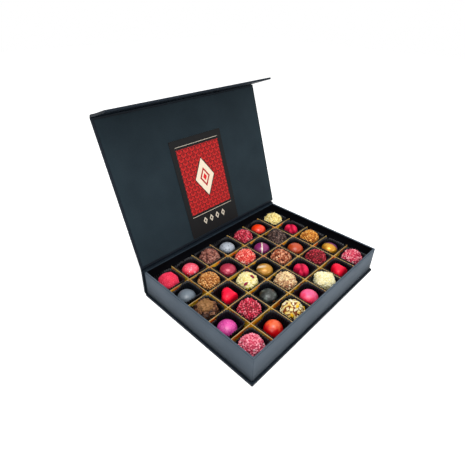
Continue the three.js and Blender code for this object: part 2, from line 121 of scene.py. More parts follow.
def add_node(tree, kind, inputs=None, stops=(), to=None, **settings):
    """Adds a node with its settings and links.

    An input takes a value, a socket or another node's first output. A ramp takes its stops as (place, hex),
    and the node's own first output may go on to a socket.
    """
    node = tree.nodes.new(kind)
    for name, value in settings.items():
        setattr(node, name, value)
    for key, value in (inputs or {}).items():
        if isinstance(value, bpy.types.Node):
            value = value.outputs[0]
        if isinstance(value, bpy.types.NodeSocket):
            tree.links.new(value, node.inputs[key])
        else:
            node.inputs[key].default_value = value
    for index, (place, code) in enumerate(stops):
        ramp = node.color_ramp.elements
        stop = ramp[index] if index < 2 else ramp.new(place)
        stop.position = place
        stop.color = linear(code)
    if to is not None:
        tree.links.new(node.outputs[0], to)
    return node


def new_material(name, roughness, specular=0.5, metallic=0.0):
    """A node material; returns it with its tree, its Principled shader and the Object coordinates."""
    material = bpy.data.materials.new(name)
    material.use_nodes = True
    tree = material.node_tree
    shader = tree.nodes["Principled BSDF"]
    shader.inputs["Roughness"].default_value = roughness
    shader.inputs["Specular IOR Level"].default_value = specular
    shader.inputs["Metallic"].default_value = metallic
    return material, tree, shader, add_node(tree, "ShaderNodeTexCoord").outputs["Object"]


def wrapping_paper(name, dark, light, roughness, specular=0.12, fibre=PAPER_FIBRE):
    """Dyed wrapping paper on board: soft clouds of shade where the fibres lie thicker, and a faint tooth.

    The fibres of such paper are about 0.1 mm wide; they are drawn coarser here so that they show.
    """
    material, tree, shader, place = new_material(name, roughness, specular)
    tooth = add_node(tree, "ShaderNodeTexNoise", {"Vector": place, "Scale": 1 / fibre, "Detail": 3.0})
    cloud = add_node(tree, "ShaderNodeTexNoise", {"Vector": place, "Scale": 1 / PAPER_CLOUD, "Detail": 2.0})
    shade = add_node(tree, "ShaderNodeMix", {0: FIBRE_SHARE, 2: cloud, 3: tooth}, data_type="FLOAT")
    stops = [(0.3, dark), (0.7, light)]
    add_node(tree, "ShaderNodeValToRGB", {"Fac": shade}, stops, shader.inputs["Base Color"])
    relief = {"Height": tooth, "Distance": PAPER_RELIEF}
    add_node(tree, "ShaderNodeBump", relief, to=shader.inputs["Normal"])
    return material, tree, shader, place


def paint(tree, shader, mask, code):
    """Lays a second colour over a shader's base colour where a mask is 1."""
    base = shader.inputs["Base Color"]
    under = base.links[0].from_socket
    over = add_node(tree, "ShaderNodeMix", {0: mask, 6: under, 7: linear(code)}, data_type="RGBA")
    tree.links.new(over.outputs[2], base)


def rounded_ring(half_length, half_width, corner, height):
    """A rectangle with round corners at one height, anticlockwise from above."""
    ring = []
    for quarter, (right, back) in enumerate([(1, 1), (-1, 1), (-1, -1), (1, -1)]):
        middle = Vector((right * (half_length - corner), back * (half_width - corner), height))
        for step in range(CORNER_STEPS + 1):
            angle = math.pi / 2 * (quarter + step / CORNER_STEPS)
            ring.append(middle + corner * Vector((math.cos(angle), math.sin(angle), 0)))
    return ring


def skin(rings, crown=None):
    """Joins a stack of rings into a closed skin with a flat foot, and a flat top or a point for a crown.

    Returns its bmesh and the faces of each band from the first ring on, with the top as the last.
    """
    bm = bmesh.new()
    loops = [[bm.verts.new(point) for point in ring] for ring in rings]
    bands = []
    for low, high in zip(loops, loops[1:]):
        around = zip(low, low[1:] + low[:1], high[1:] + high[:1], high)
        bands.append([bm.faces.new(corners) for corners in around])
    bm.faces.new(reversed(loops[0]))
    last = loops[-1]
    if crown is None:
        bands.append([bm.faces.new(last)])
    else:
        top = bm.verts.new(crown)
        bands.append([bm.faces.new((*side, top)) for side in zip(last, last[1:] + last[:1])])
    return bm, bands


def apply_modifiers(piece):
    """Makes the result of a piece's modifiers its own plain mesh, and removes them."""
    depsgraph = bpy.context.evaluated_depsgraph_get()
    mesh = bpy.data.meshes.new_from_object(piece.evaluated_get(depsgraph), depsgraph=depsgraph)
    piece.modifiers.clear()
    piece.data = mesh
    mesh.name = piece.name


def make_piece(name, bm, *materials, even_faces=False):
    """Makes an object of a bmesh, shaded smooth. Even faces keep wide flats flat beside rounded edges."""
    mesh = bpy.data.meshes.new(name)
    bm.to_mesh(mesh)
    bm.free()
    mesh.shade_smooth()
    for material in materials:
        mesh.materials.append(material)
    piece = bpy.data.objects.new(name, mesh)
    bpy.context.scene.collection.objects.link(piece)
    if even_faces:
        piece.modifiers.new("even_faces", "WEIGHTED_NORMAL")
        apply_modifiers(piece)
    return piece


def fit(piece, node, body):
    """Puts a piece in a node's place on a body, hiding the node."""
    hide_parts(node)
    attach(piece, body)


tray_low, tray_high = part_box("tray")
half_tray = (tray_high - tray_low) / 2
rim = tray_high.z

slate_paper, tree, shader, place = wrapping_paper("slate_wrapping_paper", "444F5A", "57626D", roughness=0.68)
from_middle = add_node(tree, "ShaderNodeVectorMath", {0: place}, operation="ABSOLUTE")
outermost = Vector((half_tray.x, half_tray.y, rim))
gap = add_node(tree, "ShaderNodeVectorMath", {0: outermost, 1: from_middle}, operation="SUBTRACT")
gaps = add_node(tree, "ShaderNodeSeparateXYZ", {"Vector": gap}).outputs
nearest = add_node(tree, "ShaderNodeMath", {0: gaps["X"], 1: gaps["Y"]}, operation="MINIMUM")
other = add_node(tree, "ShaderNodeMath", {0: gaps["X"], 1: gaps["Y"]}, operation="MAXIMUM")
edge = add_node(tree, "ShaderNodeMath", {0: other, 1: gaps["Z"]}, operation="MINIMUM")
from_edge = add_node(tree, "ShaderNodeMath", {0: nearest, 1: edge}, operation="MAXIMUM")
# A dark line painted along the rim and down the corners: partly the worn paper of the crease, partly painted
# shade.
crease_wear_and_shade = add_node(tree, "ShaderNodeMapRange", {
    "Value": from_edge, "From Max": CREASE_WIDTH, "To Min": CREASE_SHADE, "To Max": 0.0,
})
paint(tree, shader, crease_wear_and_shade, "26323B")
# The back wall and its rim are painted darker: a painted shadow of the open lid.
backwards = add_node(tree, "ShaderNodeSeparateXYZ", {"Vector": place}).outputs["Y"]
back_wall = half_tray.y - TRAY_WALL - RIM_ROUND
lid_shadow_at_back = add_node(tree, "ShaderNodeMath", {0: backwards, 1: back_wall}, operation="GREATER_THAN")
paint(tree, shader, lid_shadow_at_back, "1C262E")

black_paper = wrapping_paper("black_lining_paper", "050507", "0B0C10", roughness=0.7, specular=0.01)[0]

rim_edge = []
for step in range(ROUND_STEPS + 1):
    angle = math.pi / 2 * step / ROUND_STEPS
    rim_edge.append((RIM_ROUND * (1 - math.cos(angle)), rim - RIM_ROUND * (1 - math.sin(angle))))
wall = [(0.0, tray_low.z)] + rim_edge
wall += [(TRAY_WALL - inset, level) for inset, level in reversed(rim_edge)]
wall.append((TRAY_WALL, tray_low.z + TRAY_FLOOR))
bm, bands = skin([
    rounded_ring(half_tray.x - inset, half_tray.y - inset, TRAY_CORNER, level) for inset, level in wall
])
for face in bands[-2] + bands[-1]:
    face.material_index = 1
tray = make_piece("tray_wrapped", bm, slate_paper, black_paper, even_faces=True)
fit(tray, "tray", "box")

# Base panel and spine
# Greyboard panels wrapped in near-black paper, the base glued under the tray and the spine behind it. The
# paper is drawn tight round every edge, which leaves the edges slightly round.
BOARD_CORNER = 1.0 * MM
BOARD_EDGE = 0.6 * MM
STILL = Matrix.Identity(4)

case_paper = wrapping_paper("case_wrapping_paper", "0B141D", "151F28", roughness=0.5)[0]


def board_mesh(size, edge):
    """A board of a given size that lies on the XY plane about the origin, with rounded edges."""
    rings = []
    for middle, first in ((edge, -90), (size.z - edge, 0)):
        for step in range(ROUND_STEPS + 1):
            angle = math.radians(first + 90 * step / ROUND_STEPS)
            inset = edge * (1 - math.cos(angle))
            level = middle + edge * math.sin(angle)
            rings.append(rounded_ring(size.x / 2 - inset, size.y / 2 - inset, BOARD_CORNER, level))
    return skin(rings)[0]


def lying_board(name, low, high, finish, edge=BOARD_EDGE, turn=STILL):
    """A board that fills a box lying flat, carried by a turn to where it stands."""
    bm = board_mesh(high - low, edge)
    middle = Vector(((low.x + high.x) / 2, (low.y + high.y) / 2, low.z))
    bm.transform(turn @ Matrix.Translation(middle))
    return make_piece(name, bm, finish, even_faces=True)


def standing_board(name, low, high, finish, turn=STILL):
    """A board that fills a box on its long edge, carried by a turn to where it stands."""
    size = high - low
    bm = board_mesh(Vector((size.x, size.z, size.y)), BOARD_EDGE)
    middle = Vector(((low.x + high.x) / 2, high.y, (low.z + high.z) / 2))
    bm.transform(turn @ Matrix.Translation(middle) @ Matrix.Rotation(math.pi / 2, 4, "X"))
    return make_piece(name, bm, finish, even_faces=True)


base_low, base_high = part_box("base_panel")
spine_low, spine_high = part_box("spine_panel")
fit(lying_board("base_board", base_low, base_high, case_paper), "base_panel", "box")
fit(standing_board("spine_board", spine_low, spine_high, case_paper), "spine_panel", "box")

# Lid and front flap
# Two more boards in the same paper. The lid stands open on its paper hinge, and the flap hangs from the
# lid's front edge and folds down over the tray's front when the box is shut.
joints = {joint["name"]: joint for joint in frame["joints"]}


def turn_from_shut(joint):
    """The turn from a joint's shut limit to the way it stands at rest."""
    fold = Matrix.Translation(Vector(joint["pos_m"]))
    angle = -math.radians(joint["range_deg"][0])
    return fold @ Matrix.Rotation(angle, 4, Vector(joint["axis"])) @ fold.inverted()


def shut_box(node, turn):
    """The lowest and highest corner of a node when it is turned back to where it lies shut."""
    back = turn.inverted()
    points = [back @ vertex.co for vertex in frame["nodes"][node].data.vertices]
    low = Vector([min(point[axis] for point in points) for axis in range(3)])
    high = Vector([max(point[axis] for point in points) for axis in range(3)])
    return low, high


lid_turn = turn_from_shut(joints["lid_hinge"])
flap_turn = turn_from_shut(joints["flap_hinge"]) @ lid_turn
lid_low, lid_high = shut_box("lid_panel", lid_turn)
flap_low, flap_high = shut_box("flap_panel", flap_turn)
lid_board = lying_board("lid_board", lid_low, lid_high, case_paper, turn=lid_turn)
flap_board = standing_board("flap_board", flap_low, flap_high, case_paper, turn=flap_turn)
fit(lid_board, "lid_panel", "lid")
fit(flap_board, "flap_panel", "flap")

# Magnets and keeper plates
# Plated steel discs let into the flap and into the tray's front wall, under the paper. They hold the flap
# shut; the paper covers them, so they show no more than a faint edge.
STEEL_GRAIN = 0.4 * MM

# Plated steel has a soft grey shine with a fine grain.
steel, tree, shader, place = new_material("plated_steel", roughness=0.35, metallic=1.0)
grain = add_node(tree, "ShaderNodeTexNoise", {"Vector": place, "Scale": 1 / STEEL_GRAIN, "Detail": 2.0})
stops = [(0.3, "8A8E93"), (0.7, "A4A8AC")]
add_node(tree, "ShaderNodeValToRGB", {"Fac": grain}, stops, shader.inputs["Base Color"])
for node in ("flap_magnet_left", "flap_magnet_right", "keeper_plate_left", "keeper_plate_right"):
    frame["nodes"][node].material_slots[0].material = steel

# Lid liner
# A sheet of thin card in dark teal-grey paper, pasted inside the lid with a narrow margin of board round it.
# The paper has a fine laid grain and is a little lighter than the case.
LINER_EDGE = 0.2 * MM
LINER_FIBRE = 1.2 * MM

liner_paper = wrapping_paper("liner_paper", "18242B", "222F36", roughness=0.7, fibre=LINER_FIBRE)[0]
liner_low, liner_high = shut_box("lid_liner", lid_turn)
liner = lying_board("lid_liner_card", liner_low, liner_high, liner_paper, LINER_EDGE, lid_turn)
fit(liner, "lid_liner", "lid")

# Picture card
# A print on satin card, pasted on the liner with its foot at the hinge: red scales on a black ground, a
# cream and red lozenge in the middle of the field, and a row of small cream lozenges below it.
SCALE_RADIUS = 6.0 * MM
FIELD_HALF_WIDTH = 42 * MM
FIELD_FOOT = -40 * MM
FIELD_TOP = 62 * MM
RULE_WIDTH = 0.7 * MM
RULE_GAP = 4 * MM
LOZENGE_MIDDLE = Vector((0, 11, 0)) * MM
LOZENGE_HALF = Vector((19, 30, 0)) * MM
LOZENGE_RINGS = [(0.0, 1.08, "1C0C0E"), (0.0, 1.0, "EFDFC6"), (0.36, 0.52, "A81820"), (0.0, 0.2, "D8282A")]
ROW_SPACING = 13 * MM
ROW_HALF_WIDTH = 26 * MM
ROW_MIDDLE = Vector((ROW_SPACING / 2, -56 * MM, 0))
ROW_HALF = Vector((4, 6, 0)) * MM
ROW_RING = (0.45, 1.0)
CREAM = "CFC6B4"
CARD_EDGE_SHARE = 0.25


def within(tree, *limits):
    """A mask that is 1 where each of some values lies between its own two limits."""
    mask = 1.0
    for value, low, high in limits:
        span = {0: value, 1: (low + high) / 2, 2: (high - low) / 2}
        inside = add_node(tree, "ShaderNodeMath", span, operation="COMPARE")
        mask = add_node(tree, "ShaderNodeMath", {0: mask, 1: inside}, operation="MULTIPLY")
    return mask


def lozenge(tree, spot, middle, half):
    """How far out a spot lies in a lozenge: 0 at its middle and 1 on its outline."""
    offset = add_node(tree, "ShaderNodeVectorMath", {0: spot, 1: middle}, operation="SUBTRACT")
    size = add_node(tree, "ShaderNodeVectorMath", {0: offset}, operation="ABSOLUTE")
    steepness = (1 / half.x, 1 / half.y, 0)
    sum_up = add_node(tree, "ShaderNodeVectorMath", {0: size, 1: steepness}, operation="DOT_PRODUCT")
    return sum_up.outputs["Value"]


# Satin print has even inks and a soft sheen. The scales are discs round two square sets of middles, one set
# half a step from the other, and each disc lies over those of the row below it.
picture_print, tree, shader, place = new_material("satin_print_on_card", roughness=0.45, specular=0.15)
spot = add_node(tree, "ShaderNodeAttribute", attribute_name="print_place").outputs["Vector"]
axes = add_node(tree, "ShaderNodeSeparateXYZ", {"Vector": spot}).outputs
across, up = axes["X"], axes["Y"]
in_radii = add_node(tree, "ShaderNodeVectorMath", {0: spot, "Scale": 1 / SCALE_RADIUS}, operation="SCALE")
reaches = []
heights = []
for middle in ((0, 0, 0), (1, 1, 0)):
    offset = add_node(tree, "ShaderNodeVectorMath", {0: in_radii, 1: middle}, operation="SUBTRACT")
    nearest = {0: offset, 1: (1, 1, 1), 2: (-1, -1, -1)}
    offset = add_node(tree, "ShaderNodeVectorMath", nearest, operation="WRAP")
    reaches.append(add_node(tree, "ShaderNodeVectorMath", {0: offset}, operation="LENGTH").outputs["Value"])
    heights.append(add_node(tree, "ShaderNodeSeparateXYZ", {"Vector": offset}).outputs["Y"])
first_above = add_node(tree, "ShaderNodeMath", {0: heights[0], 1: 0.0}, operation="LESS_THAN")
upper = add_node(tree, "ShaderNodeMix", {0: first_above, 2: reaches[1], 3: reaches[0]}, data_type="FLOAT")
lower = add_node(tree, "ShaderNodeMix", {0: first_above, 2: reaches[0], 3: reaches[1]}, data_type="FLOAT")
in_upper = add_node(tree, "ShaderNodeMath", {0: upper, 1: 1.0}, operation="LESS_THAN")
scale_place = add_node(tree, "ShaderNodeMix", {0: in_upper, 2: lower, 3: upper}, data_type="FLOAT")
stops = [(0.0, "5A0A0E"), (0.4, "A8161A"), (0.78, "CC2A26"), (0.86, "7A1014"), (0.92, "12080A")]
add_node(tree, "ShaderNodeValToRGB", {"Fac": scale_place}, stops, shader.inputs["Base Color"])
in_width = (across, -FIELD_HALF_WIDTH, FIELD_HALF_WIDTH)
field = within(tree, in_width, (up, FIELD_FOOT, FIELD_TOP))
ground = add_node(tree, "ShaderNodeMath", {0: 1.0, 1: field}, operation="SUBTRACT")
paint(tree, shader, ground, "0A0B0D")
medallion = lozenge(tree, spot, LOZENGE_MIDDLE, LOZENGE_HALF)
for inner, outer, code in LOZENGE_RINGS:
    paint(tree, shader, within(tree, (medallion, inner, outer)), code)
one_step = {0: spot, 1: (ROW_SPACING, 1, 1), 2: (0, -1, -1)}
in_row = add_node(tree, "ShaderNodeVectorMath", one_step, operation="WRAP")
row_width = (across, -ROW_HALF_WIDTH, ROW_HALF_WIDTH)
small = lozenge(tree, in_row, ROW_MIDDLE, ROW_HALF)
paint(tree, shader, within(tree, row_width, (small, *ROW_RING)), CREAM)
for height in (FIELD_FOOT - RULE_GAP, FIELD_TOP + RULE_GAP):
    rule = (up, height - RULE_WIDTH / 2, height + RULE_WIDTH / 2)
    paint(tree, shader, within(tree, in_width, rule), CREAM)

card_low, card_high = shut_box("picture_card", lid_turn)
bm = board_mesh(card_high - card_low, CARD_EDGE_SHARE * (card_high.z - card_low.z))
layer = bm.verts.layers.float_vector.new("print_place")
for vertex in bm.verts:
    vertex[layer] = (vertex.co.x, -vertex.co.y, 0)
middle = Vector(((card_low.x + card_high.x) / 2, (card_low.y + card_high.y) / 2, card_low.z))
bm.transform(lid_turn @ Matrix.Translation(middle))
picture = make_piece("printed_card", bm, picture_print, even_faces=True)
fit(picture, "picture_card", "lid")

# Hinge papers
# Strips of the case paper pasted over the outside of two boards, with a soft gully between them where the
# paper folds. Their ends are pared thin, so that they run out on the boards.
HINGE_LAP = 8 * MM
HINGE_PAPER = 0.35 * MM
HINGE_LIFT = 0.06 * MM
HINGE_PARED = 1.5 * MM
PARED_LEAST = 0.15
HINGE_END = 0.4 * MM
FOOT_LAP_SHARE = 0.4
LAP_STEPS = 5
GULLY_STEPS = 8


def board_edge(turn, corner, face, along):
    """Where a hinge paper leaves a board: its corner, the way its face looks and the way in over it."""
    way = turn.to_3x3()
    return {"corner": turn @ Vector(corner), "face": way @ Vector(face), "along": way @ Vector(along)}


def hinge_strip(name, first, second):
    """A strip of paper from one board's edge over the gap to the next board's."""
    corners = [board["corner"] + HINGE_LIFT * board["face"] for board in (first, second)]
    path = []
    for step in range(LAP_STEPS):
        inward = HINGE_LAP * (1 - step / LAP_STEPS)
        path.append((corners[0] + inward * first["along"], first["face"], inward))
    for step in range(GULLY_STEPS + 1):
        share = step / GULLY_STEPS
        outward = first["face"].lerp(second["face"], share).normalized()
        path.append((corners[0].lerp(corners[1], share), outward, 0.0))
    for step in range(1, LAP_STEPS + 1):
        inward = HINGE_LAP * step / LAP_STEPS
        path.append((corners[1] + inward * second["along"], second["face"], inward))
    inner = [point for point, _, _ in path]
    outer = []
    for point, outward, inward in path:
        pared = min(1.0, PARED_LEAST + (HINGE_LAP - inward) / HINGE_PARED)
        outer.append(point + HINGE_PAPER * pared * outward)
    outline = inner + outer[::-1]
    reach = (base_high.x - base_low.x) / 2 - HINGE_END
    bm, _ = skin([[point + Vector((x, 0, 0)) for point in outline] for x in (-reach, reach)])
    bmesh.ops.recalc_face_normals(bm, faces=bm.faces)
    return make_piece(name, bm, case_paper, even_faces=True)


BACK, UP, DOWN, FRONT = (0, 1, 0), (0, 0, 1), (0, 0, -1), (0, -1, 0)
spine_top = board_edge(STILL, (0, spine_high.y, spine_high.z), BACK, DOWN)
lid_back = board_edge(lid_turn, (0, lid_high.y, lid_high.z), UP, FRONT)
lid_front = board_edge(lid_turn, (0, lid_low.y, lid_high.z), UP, BACK)
flap_top = board_edge(flap_turn, (0, flap_low.y, flap_high.z), FRONT, DOWN)
spine_foot = board_edge(STILL, (0, spine_high.y, spine_low.z), BACK, UP)
base_back = board_edge(STILL, (0, base_high.y, base_high.z), BACK, FOOT_LAP_SHARE * Vector(DOWN))

lid_hinge = hinge_strip("lid_hinge_strip", spine_top, lid_back)
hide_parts("lid_hinge_paper")
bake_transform(lid_hinge)
flap_hinge = hinge_strip("flap_hinge_strip", lid_front, flap_top)
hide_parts("flap_hinge_paper")
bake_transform(flap_hinge)
foot_hinge = hinge_strip("foot_hinge_strip", spine_foot, base_back)
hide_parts("foot_hinge_paper")
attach(foot_hinge, "box")

# Divider grid
# Strips of card with gold foil on both faces, slotted half through and lapped into each other. The foil is
# satin and warm; the cut upper edges are bare, pale and dull.
FOIL_CRINKLE_AND_REFLECTION = 14 * MM
FOIL_RELIEF = 0.1 * MM
EDGE_SLOPE = 0.5

# Gold foil on card: its colour is painted in uneven orange-red and yellow patches, partly the foil's gold and
# partly a painted reflection of the chocolates round it; the same noise gives the foil its crinkle.
gold_card, tree, shader, place = new_material("gold_foil_card", roughness=0.3)
facing = add_node(tree, "ShaderNodeNewGeometry").outputs["True Normal"]
upward = add_node(tree, "ShaderNodeSeparateXYZ", {"Vector": facing}).outputs["Z"]
cut_edge = add_node(tree, "ShaderNodeMath", {0: upward, 1: EDGE_SLOPE}, operation="GREATER_THAN")
crinkle_and_reflection = add_node(tree, "ShaderNodeTexNoise", {"Vector": place, "Scale": 1 / FOIL_CRINKLE_AND_REFLECTION, "Detail": 3.0})
stops = [(0.36, "FF5A0C"), (0.62, "FFD034"), (0.48, "FFB41C")]
add_node(tree, "ShaderNodeValToRGB", {"Fac": crinkle_and_reflection}, stops, shader.inputs["Base Color"])
paint(tree, shader, cut_edge, "BEA068")
for socket, on_foil, on_edge in (("Metallic", 0.15, 0.3), ("Roughness", 0.3, 0.5)):
    shares = {"Value": cut_edge, "To Min": on_foil, "To Max": on_edge}
    add_node(tree, "ShaderNodeMapRange", shares, to=shader.inputs[socket])
relief = {"Height": crinkle_and_reflection, "Distance": FOIL_RELIEF}
add_node(tree, "ShaderNodeBump", relief, to=shader.inputs["Normal"])
for name, node in frame["nodes"].items():
    if name.startswith(("long_divider", "short_divider")):
        node.material_slots[0].material = gold_card

# Floor lining and paper cups
# A sheet of black paper on the tray's floor, and on it one cup of thin glazed black paper in each cell. A
# cup is pressed from a disc, so its wall is a ring of pleats; the cell squeezes the wall square, and its rim
# is ragged and sags in places, most often at the back left, where the foil shows over it.
LINING_PAPER = 0.3 * MM
LINING_EDGE = 0.1 * MM
LINING_GAP = 0.3 * MM
CUP_LIFT = 0.25 * MM
CUP_PAPER = 0.16 * MM
CUP_WRINKLE = 1.5 * MM
CUP_RELIEF = 0.1 * MM
CUP_FOOT_RADIUS = 15.9 * MM
CUP_RIM_RADIUS = 18.2 * MM
CUP_HEIGHT = 25.0 * MM
CUP_PLEATS = 36
CUP_SQUARENESS = 9.0
CORNER_DROP = 0.2 * MM
PLEAT_DEPTH = 1.7 * MM
PLEAT_POINTS = 4
PLEATS_FULL = 1 / 3
WALL_STEPS = 6
FLOOR_RINGS = (0.5, 0.95)
CUP_CRUMPLE = 1.3 * MM
CRUMPLE_WIDTH = 3 * MM
CUP_SAG = 5 * MM
SAG_WIDTH = 22 * MM
SAG_SHARES = {"From Min": 0.4, "From Max": 0.48}
SAG_SIDES = {"Y": (12 * MM, 16 * MM), "X": (5 * MM, -3 * MM)}
CELL_PITCH = 40 * MM
CUP_SEED = 4
UPRIGHT_CUPS = ("b1", "d1")
UPRIGHT_SIZE = (0.92, 0.92, 1.13)

# Glazed paper is nearly black, with a broken gloss on its wrinkles.
glazed_paper, tree, shader, place = new_material("glazed_black_paper", roughness=0.36, specular=0.3)
wrinkle = add_node(tree, "ShaderNodeTexNoise", {"Vector": place, "Scale": 1 / CUP_WRINKLE, "Detail": 2.0})
stops = [(0.3, "07080B"), (0.7, "14161C")]
add_node(tree, "ShaderNodeValToRGB", {"Fac": wrinkle}, stops, shader.inputs["Base Color"])
relief = {"Height": wrinkle, "Distance": CUP_RELIEF}
add_node(tree, "ShaderNodeBump", relief, to=shader.inputs["Normal"])

lining_low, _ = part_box("floor_lining_with_cups")
inside = half_tray - Vector((TRAY_WALL + LINING_GAP, TRAY_WALL + LINING_GAP, 0))
lining_high = Vector((inside.x, inside.y, lining_low.z + LINING_PAPER))
lining_low = Vector((-inside.x, -inside.y, lining_low.z))
lining = lying_board("floor_lining", lining_low, lining_high, black_paper, LINING_EDGE)
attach(lining, "box")


def new_tree(name, sockets):
    """A Geometry Nodes tree with named inputs; returns it, its inputs and their identifiers."""
    tree = bpy.data.node_groups.new(name, "GeometryNodeTree")
    tree.interface.new_socket("Geometry", in_out="INPUT", socket_type="NodeSocketGeometry")
    tree.interface.new_socket("Geometry", in_out="OUTPUT", socket_type="NodeSocketGeometry")
    identifiers = {}
    for label, kind in sockets.items():
        socket = tree.interface.new_socket(label, in_out="INPUT", socket_type="NodeSocket" + kind)
        identifiers[label] = socket.identifier
    return tree, add_node(tree, "NodeGroupInput").outputs, identifiers


def grow(piece, tree, identifiers, values):
    """Runs a tree on a piece and keeps the result as its plain mesh."""
    modifier = piece.modifiers.new(tree.name, "NODES")
    modifier.node_group = tree
    for label, value in values.items():
        modifier[identifiers[label]] = value
    apply_modifiers(piece)


def cup_ring(floor_share, rise):
    """One ring of a cup: a share of the way out on its floor, then a share of the way up its wall.

    The disc that a cup is pressed from is round, so the rim is lower where the wall reaches into a corner.
    """
    ring = []
    corner_reach = 2 ** (0.5 - 1 / CUP_SQUARENESS)
    round_radius = CUP_FOOT_RADIUS * floor_share + (CUP_RIM_RADIUS - CUP_FOOT_RADIUS) * rise
    for step in range(PLEAT_POINTS * CUP_PLEATS):
        fold = math.cos(2 * math.pi * step / PLEAT_POINTS)
        pleat = PLEAT_DEPTH / 2 * min(1, rise / PLEATS_FULL) * fold
        way = Matrix.Rotation(2 * math.pi * step / (PLEAT_POINTS * CUP_PLEATS), 2) @ Vector((1, 0))
        squared = (abs(way.x) ** CUP_SQUARENESS + abs(way.y) ** CUP_SQUARENESS) ** (-1 / CUP_SQUARENESS)
        radius = (round_radius + pleat) * (1 + rise * (squared - 1))
        height = CUP_HEIGHT - CORNER_DROP * (squared - 1) / (corner_reach - 1)
        ring.append(Vector((radius * way.x, radius * way.y, height * rise)))
    return ring


rings = [cup_ring(share, 0.0) for share in FLOOR_RINGS]
rings += [cup_ring(1.0, step / WALL_STEPS) for step in range(WALL_STEPS + 1)]
bm, bands = skin([ring[::-1] for ring in rings])
bmesh.ops.delete(bm, geom=bands[-1], context="FACES_ONLY")
cup = make_piece("cup", bm)

tree, given, cup_inputs = new_tree("pleated_cups", {
    "Cup": "Object", "Height": "Float", "Crumple": "Float", "Sag": "Float", "Seed": "Int",
    "Paper": "Material",
})
pattern = add_node(tree, "GeometryNodeObjectInfo", {"Object": given["Cup"]}).outputs["Geometry"]
quarters = add_node(
    tree, "FunctionNodeRandomValue", {4: 0, 5: 3, "Seed": given["Seed"]}, data_type="INT"
).outputs[2]
angle = add_node(tree, "ShaderNodeMath", {0: quarters, 1: math.pi / 2}, operation="MULTIPLY")
twist = add_node(tree, "ShaderNodeCombineXYZ", {"Z": angle})
twisted = add_node(tree, "FunctionNodeEulerToRotation", {0: twist})
cup_size = add_node(tree, "GeometryNodeInputNamedAttribute", {"Name": "cup_size"}, data_type="FLOAT_VECTOR")
placed = add_node(tree, "GeometryNodeInstanceOnPoints", {
    "Points": given["Geometry"], "Instance": pattern, "Rotation": twisted, "Scale": cup_size,
})
real = add_node(tree, "GeometryNodeRealizeInstances", {"Geometry": placed})
where = add_node(tree, "GeometryNodeInputPosition")
crumple = add_node(tree, "ShaderNodeTexNoise", {"Vector": where, "Scale": 1 / CRUMPLE_WIDTH}).outputs[1]
centred = add_node(tree, "ShaderNodeVectorMath", {0: crumple, 1: (0.5, 0.5, 0.5)}, operation="SUBTRACT")
cloud = add_node(tree, "ShaderNodeTexNoise", {"Vector": where, "Scale": 1 / SAG_WIDTH})
low_place = add_node(tree, "ShaderNodeMapRange", {"Value": cloud, **SAG_SHARES})
axes = add_node(tree, "ShaderNodeSeparateXYZ", {"Vector": where}).outputs
for axis, (nowhere, everywhere) in SAG_SIDES.items():
    cell = {0: axes[axis], 1: CELL_PITCH / 2, 2: -CELL_PITCH / 2}
    in_cell = add_node(tree, "ShaderNodeMath", cell, operation="WRAP")
    side = {"Value": in_cell, "From Min": nowhere, "From Max": everywhere}
    on_side = add_node(tree, "ShaderNodeMapRange", side)
    low_place = add_node(tree, "ShaderNodeMath", {0: low_place, 1: on_side}, operation="MULTIPLY")
foot = lining_high.z + CUP_LIFT
rim_height = add_node(tree, "ShaderNodeMath", {0: given["Height"], 1: foot}, operation="ADD")
wall_span = {"Value": axes["Z"], "From Min": foot, "From Max": rim_height}
rise = add_node(tree, "ShaderNodeMapRange", wall_span)
crumpled = add_node(tree, "ShaderNodeMath", {0: given["Crumple"], 1: rise}, operation="MULTIPLY")
ragged = add_node(tree, "ShaderNodeVectorMath", {0: centred, "Scale": crumpled}, operation="SCALE")
sunk = add_node(tree, "ShaderNodeMath", {0: low_place, 1: rise}, operation="MULTIPLY")
down = add_node(tree, "ShaderNodeCombineXYZ", {"Z": sunk})
sagging = add_node(tree, "ShaderNodeVectorMath", {0: down, "Scale": given["Sag"]}, operation="SCALE")
shift = add_node(tree, "ShaderNodeVectorMath", {0: ragged, 1: sagging}, operation="SUBTRACT")
worn = add_node(tree, "GeometryNodeSetPosition", {"Geometry": real, "Offset": shift})
papered = add_node(tree, "GeometryNodeSetMaterial", {"Geometry": worn, "Material": given["Paper"]})
add_node(tree, "NodeGroupOutput", {"Geometry": papered})

chocolates = sorted(name for name in frame["bodies"] if name[1:3].rstrip("_").isdigit())
domes = {name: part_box(name) for name in chocolates if name.endswith("_dome")}
columns_at = {name[1]: (low.x + high.x) / 2 for name, (low, high) in domes.items()}
rows_at = {name[0]: (low.y + high.y) / 2 for name, (low, high) in domes.items()}
seats = {name: Vector((columns_at[name[1]], rows_at[name[0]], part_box(name)[0].z)) for name in chocolates}
bm = bmesh.new()
layer = bm.verts.layers.float_vector.new("cup_size")
for name in chocolates:
    point = bm.verts.new((seats[name].x, seats[name].y, foot))
    point[layer] = UPRIGHT_SIZE if name[:2] in UPRIGHT_CUPS else (1.0, 1.0, 1.0)
cups = make_piece("pleated_cups", bm)
grow(cups, tree, cup_inputs, {
    "Cup": cup, "Height": CUP_HEIGHT, "Crumple": CUP_CRUMPLE, "Sag": CUP_SAG, "Seed": CUP_SEED,
    "Paper": glazed_paper,
})
bpy.data.objects.remove(cup)
thickness = cups.modifiers.new("paper", "SOLIDIFY")
thickness.thickness = CUP_PAPER
thickness.offset = -1
apply_modifiers(cups)
fit(cups, "floor_lining_with_cups", "box")

